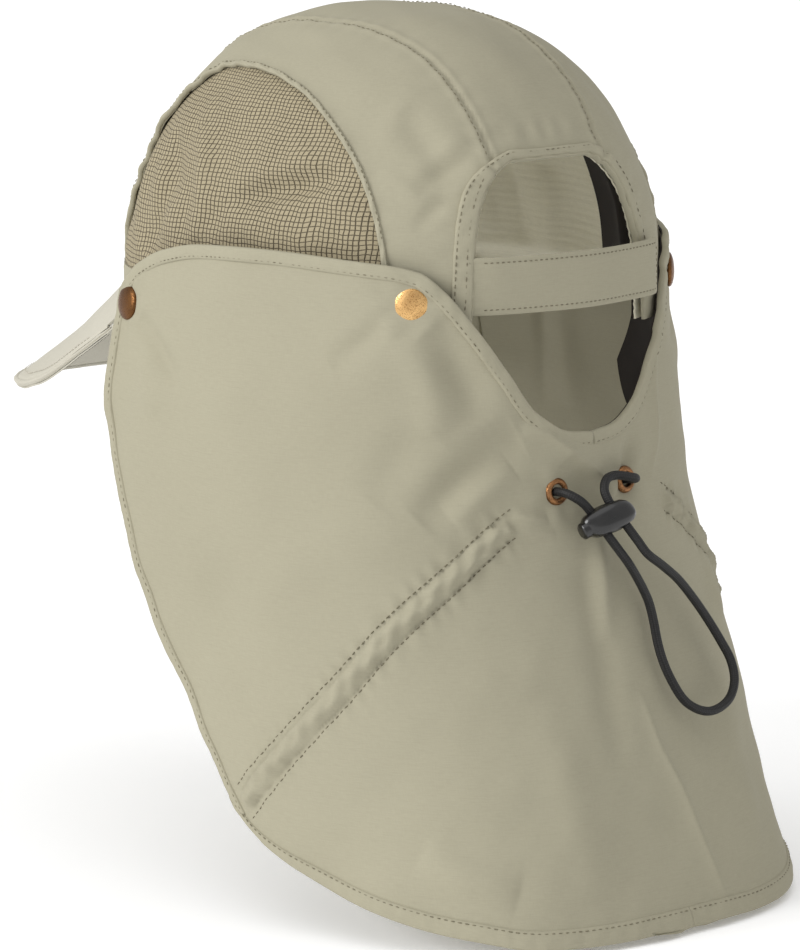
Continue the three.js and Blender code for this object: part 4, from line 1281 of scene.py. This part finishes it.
def seam_trim():
    for side, line in SEAM_LINES.items():
        line = evenly(line, 1.0)
        line = line[in_opening(line) > 3]
        out = unit(line / np.array((HEAD["half_width"], HEAD["half_length"], HEAD["height"])) ** 2)
        places = line + unit(np.cross(np.gradient(line, axis=0), out)) * 1.5
        places = places + out * (crown_relief(places)[:, None] + 0.1)
        stitches(f"seam_near_stitches_{side}", places, out, SHADED_THREAD, body="cap")


# ------------------------------------------------------------------ bill
BILL = {"length": 83, "half_width": 79, "back": -61, "across": 0.985, "root_half_angle": math.radians(59),
        "root_height": -7.3, "slope": 0.58, "arch": 0.0038, "arch_reach": 52}


def bill_point(across, out, lift):
    """A point of the bill: across is -1 to 1, out is 0 at the crown and 1 at the edge."""
    root = crown_point(math.pi - across * BILL["root_half_angle"], np.zeros_like(across), -0.6)
    front = HEAD["half_length"] + BILL["length"] + BILL["back"]
    x = root[..., 0] + (BILL["half_width"] * np.sin(across * math.pi / 2) - root[..., 0]) * out
    y = root[..., 1] + (BILL["back"] - front * np.cos(across * math.pi / 2) - root[..., 1]) * out
    reach = np.hypot(x, y) - oval(np.arctan2(x, y), HEAD["half_width"], HEAD["half_length"])
    arching = np.clip(reach / BILL["arch_reach"], 0, 1)
    drop = BILL["slope"] * reach + BILL["arch"] * x**2 * arching * (2 - arching)
    return np.stack([x, y, BILL["root_height"] - drop + lift], -1)


def bill_pieces():
    columns, rows = 220, 110
    across, out = np.meshgrid(np.linspace(-1, 1, columns + 1) * BILL["across"], np.linspace(0, 1, rows + 1))
    across, out = across.ravel(), out.ravel()
    flat_edge = bill_point(across, out, 0.0)
    rim = np.minimum((1 - out) * 40, 1)
    quads = grid_faces(columns, rows)
    for name, way, slot in (("top", 1, "bill_cloth"), ("under", -1, "khaki_cloth")):
        lift = way * (1.0 + 1.0 * np.sqrt(1 - (1 - rim) ** 2)) + 0.35 * waves(flat_edge, 45, 91)
        points = bill_point(across, out, lift)
        faces = quads if np.sum(point_normals(points, quads)[:, 2]) * way > 0 else quads[:, ::-1]
        cloth_piece(
            f"bill_{name}_cloth", points, faces, points[:, :2], 0.8, PALE, body="cap",
            stands_for=(f"bill_{name}_cover",), slot=slot,
        )
    edge_across = np.linspace(-1, 1, 300) * BILL["across"]
    edge = bill_point(edge_across, np.ones(300), 0.0)
    inner = bill_point(edge_across, np.full(300, 0.96), 0.0)
    inward = unit(inner - edge)
    outward = np.cross(unit(np.gradient(edge, axis=0)), inward)
    outward = outward * np.sign(outward[:, 2])[:, None]
    ribbon(
        "bill_piping", edge - inward * 0.8, inward, outward, 3.4, 4.6, PALE, ripple=0.08, seed=95, body="cap",
        slot="bill_cloth",
    )
    row = bill_point(edge_across[6:-6] * 0.97, np.full(288, 0.93), 0.0)
    row = row + (0, 0, 2.3) + 0.35 * waves(row, 45, 91)[:, None] * (0, 0, 1)
    stitches("bill_stitches", row, np.tile((0.0, -0.3, 1.0), (288, 1)), PALE_THREAD, body="cap")


# ------------------------------------------------------------------ strap
STRAP = [(44.5, 88.6), (40.2, 91.0), (32.4, 94.5), (-1.2, 101.8), (-35.8, 97.1), (-41.0, 94.7)]
STRAP_LOW, STRAP_HIGH = 0.2, 20.2
STRAP_INSET = 1.9
STRAP_STEP = 0.7


def strap_line():
    flat = smooth_line([(x, y, 0) for x, y in STRAP])
    return evenly(flat, STRAP_STEP)


def strap_piece():
    line = strap_line()
    ahead = unit(np.gradient(line, axis=0))
    outward = np.cross(ahead, (0.0, 0.0, 1.0))
    outward = outward * np.sign(np.sum(outward * (line - (0, 20, 0)), axis=1))[:, None]
    rows = 24
    z = np.linspace(STRAP_HIGH, STRAP_LOW, rows + 1)
    base = line[None, :, :] + np.array((0, 0, 1.0)) * z[:, None, None] + outward[None] * 1.4
    base = base.reshape(-1, 3)
    out = np.tile(outward, (rows + 1, 1))
    lengths = lengths_along(line)
    edge = np.minimum(np.repeat(STRAP_HIGH - z, len(line)), np.repeat(z - STRAP_LOW, len(line)))
    edge = np.minimum(edge, np.tile(lengths[-1] - lengths, rows + 1))
    relief = 0.45 * waves(base, 40, 101) - 0.35 * np.exp(-(((edge - STRAP_INSET) / 0.5) ** 2))
    relief = relief - 0.5 * np.exp(-((edge / 0.5) ** 2))
    points = base + out * relief[:, None]
    faces = grid_faces(len(line) - 1, rows)
    if np.sum(point_normals(points, faces) * out) < 0:
        faces = faces[:, ::-1]
    uvs = np.stack([np.tile(lengths, rows + 1), base[:, 2]], 1)
    strap = cloth_piece(
        "strap", points, faces, uvs, 1.5, KHAKI, stands_for=("adjuster_strap",), slot="khaki_cloth",
    )
    sewn = slice(int(6 / STRAP_STEP), -int(STRAP_INSET / STRAP_STEP))
    inner = line[sewn]
    across = outward[sewn]
    foot, top = STRAP_LOW + STRAP_INSET, STRAP_HIGH - STRAP_INSET
    low = inner + (0, 0, foot)
    high = inner + (0, 0, top)
    corner = [inner[-1] + (0, 0, value) for value in np.linspace(foot, top, 20)]
    pieces = [strap]
    for name, row, out_row in (
        ("low", low, across), ("high", high, across), ("end", np.array(corner), np.tile(across[-1], (20, 1)))
    ):
        row = row + out_row * (1.4 + 0.45 * waves(row + out_row * 1.4, 40, 101)[:, None] - 0.2)
        pieces.append(stitches(f"strap_{name}_stitches", row, out_row, SHADED_THREAD, pitch=2.1, length=1.4))
    for piece in pieces:
        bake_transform(piece)


# ------------------------------------------------------------------ snaps and grommets
CAP_PROFILE = [(0.05, 0.0), (5.2, 0.0), (6.1, 0.2), (6.3, 0.9), (6.0, 1.5), (5.0, 2.05), (3.4, 2.5), (1.8, 2.72),
               (0.05, 2.8)]
GROMMET_PROFILE = [(2.45, -2.0), (2.45, 0.2), (2.7, 0.95), (3.4, 1.25), (4.2, 0.95), (4.75, 0.25),
                   (4.9, -0.5), (3.2, -0.6), (3.1, -2.0), (2.45, -2.0)]
SNAP_LIFT = -1.2


def snap_caps():
    for place, (share, height) in SNAPS.items():
        at, out = cape_point(share, height), cape_normal(share, height)
        paint = GOLD if place == "rear_left" else BROWN_BRASS
        piece = lathe(
            f"snap_{place}", CAP_PROFILE, at + out * SNAP_LIFT, out, paint,
            stands_for=(f"snap_cap_{place}",), slot="brass",
        )
        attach(piece, frame["nodes"][f"snap_cap_{place}"]["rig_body"])


def grommet_rings():
    for side, at in GROMMETS.items():
        way = SIDES[side]
        out = cape_normal(way * GROMMET_SHARE, GROMMET_HEIGHT)
        lathe(
            f"grommet_ring_{side}", GROMMET_PROFILE, at - out * 0.3, out, COPPER, ring=True, size=0.35,
            body="cap", stands_for=(f"grommet_{side}",), slot="dark_brass",
        )


# ------------------------------------------------------------------ drawcord and its lock
GROMMET_SEATS = {"left": np.array((17.13, 106.15, -62)), "right": np.array((-17.13, 106.15, -62))}
GROMMET_OUT = {"left": np.array((0.10, 0.99, 0.13)), "right": np.array((-0.10, 0.99, 0.13))}
INTO_GROMMET = (-2.6, -0.8, 1)
TO_LEFT_HOLE = [(16.8, 110.7, -62), (15.1, 113.4, -63.3), (12.2, 114.6, -65.6)]
LEG = (-5.2, -2, 2, 7, 12, 17)
HANGING_LOOP = [
    (-3.4, 125, -91.7), (-7.4, 124.3, -96.8), (-10.5, 124.3, -102.3), (-11.6, 125.6, -109),
    (-10.6, 128.6, -115.6), (-10.5, 131.6, -122.2), (-12.2, 134.6, -129.3), (-15.5, 137.1, -135.7),
    (-20, 138.6, -139.2), (-25.8, 139.2, -141), (-32.5, 138.7, -140.5), (-39.2, 136.8, -138),
    (-43.6, 134.2, -133.2), (-44.6, 131.3, -127), (-41.8, 129, -120), (-37, 126.8, -111.5),
    (-30.6, 126, -103.3), (-22.7, 126.3, -95.4), (-14.4, 127, -89.3),
]
TO_RIGHT_GROMMET = [(2.9, 115.3, -61.7), (-0.1, 113.6, -58.6), (-4.7, 113.3, -58), (-10.5, 113.9, -59.2),
                    (-14, 113.3, -60.1), (-16.5, 110.8, -61.1)]
BEAN = {"start": 9.8, "end": 10.4, "half_height": 5.5, "half_thickness": 4.8, "hole": 2.1, "dimple": 1.5,
        "power": 0.8}


def cord_path():
    leg = {hole: [LOCK_AT + ACROSS * hole + SLIDE * down for down in LEG] for hole in (HOLE_A, HOLE_B)}
    into = {
        side: [GROMMET_SEATS[side] + GROMMET_OUT[side] * depth for depth in INTO_GROMMET] for side in SIDES
    }
    points = [
        *into["left"], *TO_LEFT_HOLE, *leg[HOLE_A], *HANGING_LOOP, *leg[HOLE_B][::-1], *TO_RIGHT_GROMMET,
        *into["right"][::-1],
    ]
    return evenly(smooth_line(points), 0.7)


def cord_lock():
    """A smooth bean with two dimpled holes, along its long way and across the cords."""
    long_way, slide = np.array(ACROSS), np.array(SLIDE)
    third = np.cross(long_way, slide)
    columns, rows = 130, 90
    turns = np.linspace(0, TURN, columns + 1)
    tilts = np.linspace(-math.pi / 2, math.pi / 2, rows + 1)
    turn, tilt = np.meshgrid(turns, tilts)
    turn, tilt = turn.ravel(), tilt.ravel()
    along = flattened(np.sin(tilt), BEAN["power"])
    length = np.where(along < 0, BEAN["start"], BEAN["end"])
    girth = flattened(np.cos(tilt), BEAN["power"])
    up = girth * flattened(np.cos(turn), BEAN["power"]) * BEAN["half_height"]
    through_it = girth * flattened(np.sin(turn), BEAN["power"]) * BEAN["half_thickness"]
    along = along * length
    for hole in (HOLE_A, HOLE_B):
        reach = np.hypot(along - hole, through_it) / BEAN["hole"]
        up = up - np.sign(up) * BEAN["dimple"] * np.exp(-(reach**4)) * (np.abs(up) > 2.5)
    points = along[:, None] * long_way + up[:, None] * slide + through_it[:, None] * third
    points = points + np.array(LOCK_AT)
    faces = triangles(grid_faces(columns, rows))
    points, faces = weld(points, faces)
    if np.sum(point_normals(points, faces) * (points - points.mean(0))) < 0:
        faces = faces[:, ::-1]
    return make(
        "lock_bean", points, [faces], points[:, :2], BLACK, body="cord_lock", stands_for=("cord_lock_body",),
        slot="black_plastic",
    )


def lock_plunger():
    face = np.array(LOCK_AT) - np.array(ACROSS) * 7.0
    profile = [(0.05, 0), (3.0, 0), (3.0, 3.6), (2.2, 4.2), (0.05, 4.3)]
    return lathe(
        "lock_plunger", profile, face, -np.array(ACROSS), BLACK, body="lock_button", slot="black_plastic",
        stands_for=("lock_button",),
    )


def drawcord():
    path = cord_path()
    piece = tube(
        "drawcord", path, CORD_DIAMETER / 2, CORD, body="cap", slot="black_cord",
        stands_for=("drawcord_loop",),
    )
    return piece


# ------------------------------------------------------------------ camera, light and floor
CAMERA_TARGET = Vector((6.01, 13.16, -71.0))
CAMERA_WAY = Vector((0.657, 0.7295, 0.1908)).normalized()
CAMERA_DISTANCE = 1700
FLOOR_HEIGHT = -212.5
FLOOR_SIZE = 14000


def camera():
    data = bpy.data.cameras.new("camera")
    data.lens = 178.1
    data.sensor_width = 36
    data.clip_end = 60
    rig = bpy.data.objects.new("camera", data)
    bpy.context.scene.collection.objects.link(rig)
    rig.location = (CAMERA_TARGET + CAMERA_WAY * CAMERA_DISTANCE) * MM
    rig.rotation_euler = (-CAMERA_WAY).to_track_quat("-Z", "Y").to_euler()
    bpy.context.scene.camera = rig


def sunlight(name, way, strength, softness):
    """Even light from one way; softness is the width of its source, as an angle."""
    data = bpy.data.lights.new(name, "SUN")
    data.angle = softness
    data.energy = strength
    rig = bpy.data.objects.new(name, data)
    bpy.context.scene.collection.objects.link(rig)
    rig.rotation_euler = Vector(way).to_track_quat("Z", "Y").to_euler()


def studio():
    sunlight("key", (1.0, -0.22, 0.42), 1.95, math.radians(34))
    sunlight("top", (0.3, 0.1, 1.0), 0.55, math.radians(60))
    world = bpy.data.worlds.new("studio")
    world.use_nodes = True
    world.node_tree.nodes["Background"].inputs["Color"].default_value = (1, 1, 1, 1)
    world.node_tree.nodes["Background"].inputs["Strength"].default_value = 0.64
    bpy.context.scene.world = world
    bpy.context.scene.view_settings.view_transform = "Standard"
    corners = np.array([(-1, -1, 0), (1, -1, 0), (1, 1, 0), (-1, 1, 0)], float) * FLOOR_SIZE / 2
    corners[:, 2] = FLOOR_HEIGHT
    floor = make("floor", corners, [np.array([[0, 1, 2, 3]])], corners[:, :2], studio_floor("floor"))


# ------------------------------------------------------------------ everything
camera()
lock = [cord_lock(), lock_plunger()]
drawcord()
halves = cape_cloth()
bindings = cape_bindings()
casings = casing_stitches()
for side in SIDES:
    cape_shade_sheet(side)
    bindings[side] + casings[side]
crown_pieces()
crown_shade_sheets()
opening_trim()
window_trim()
seam_trim()
bill_pieces()
strap_piece()
snap_caps()
grommet_rings()
studio()
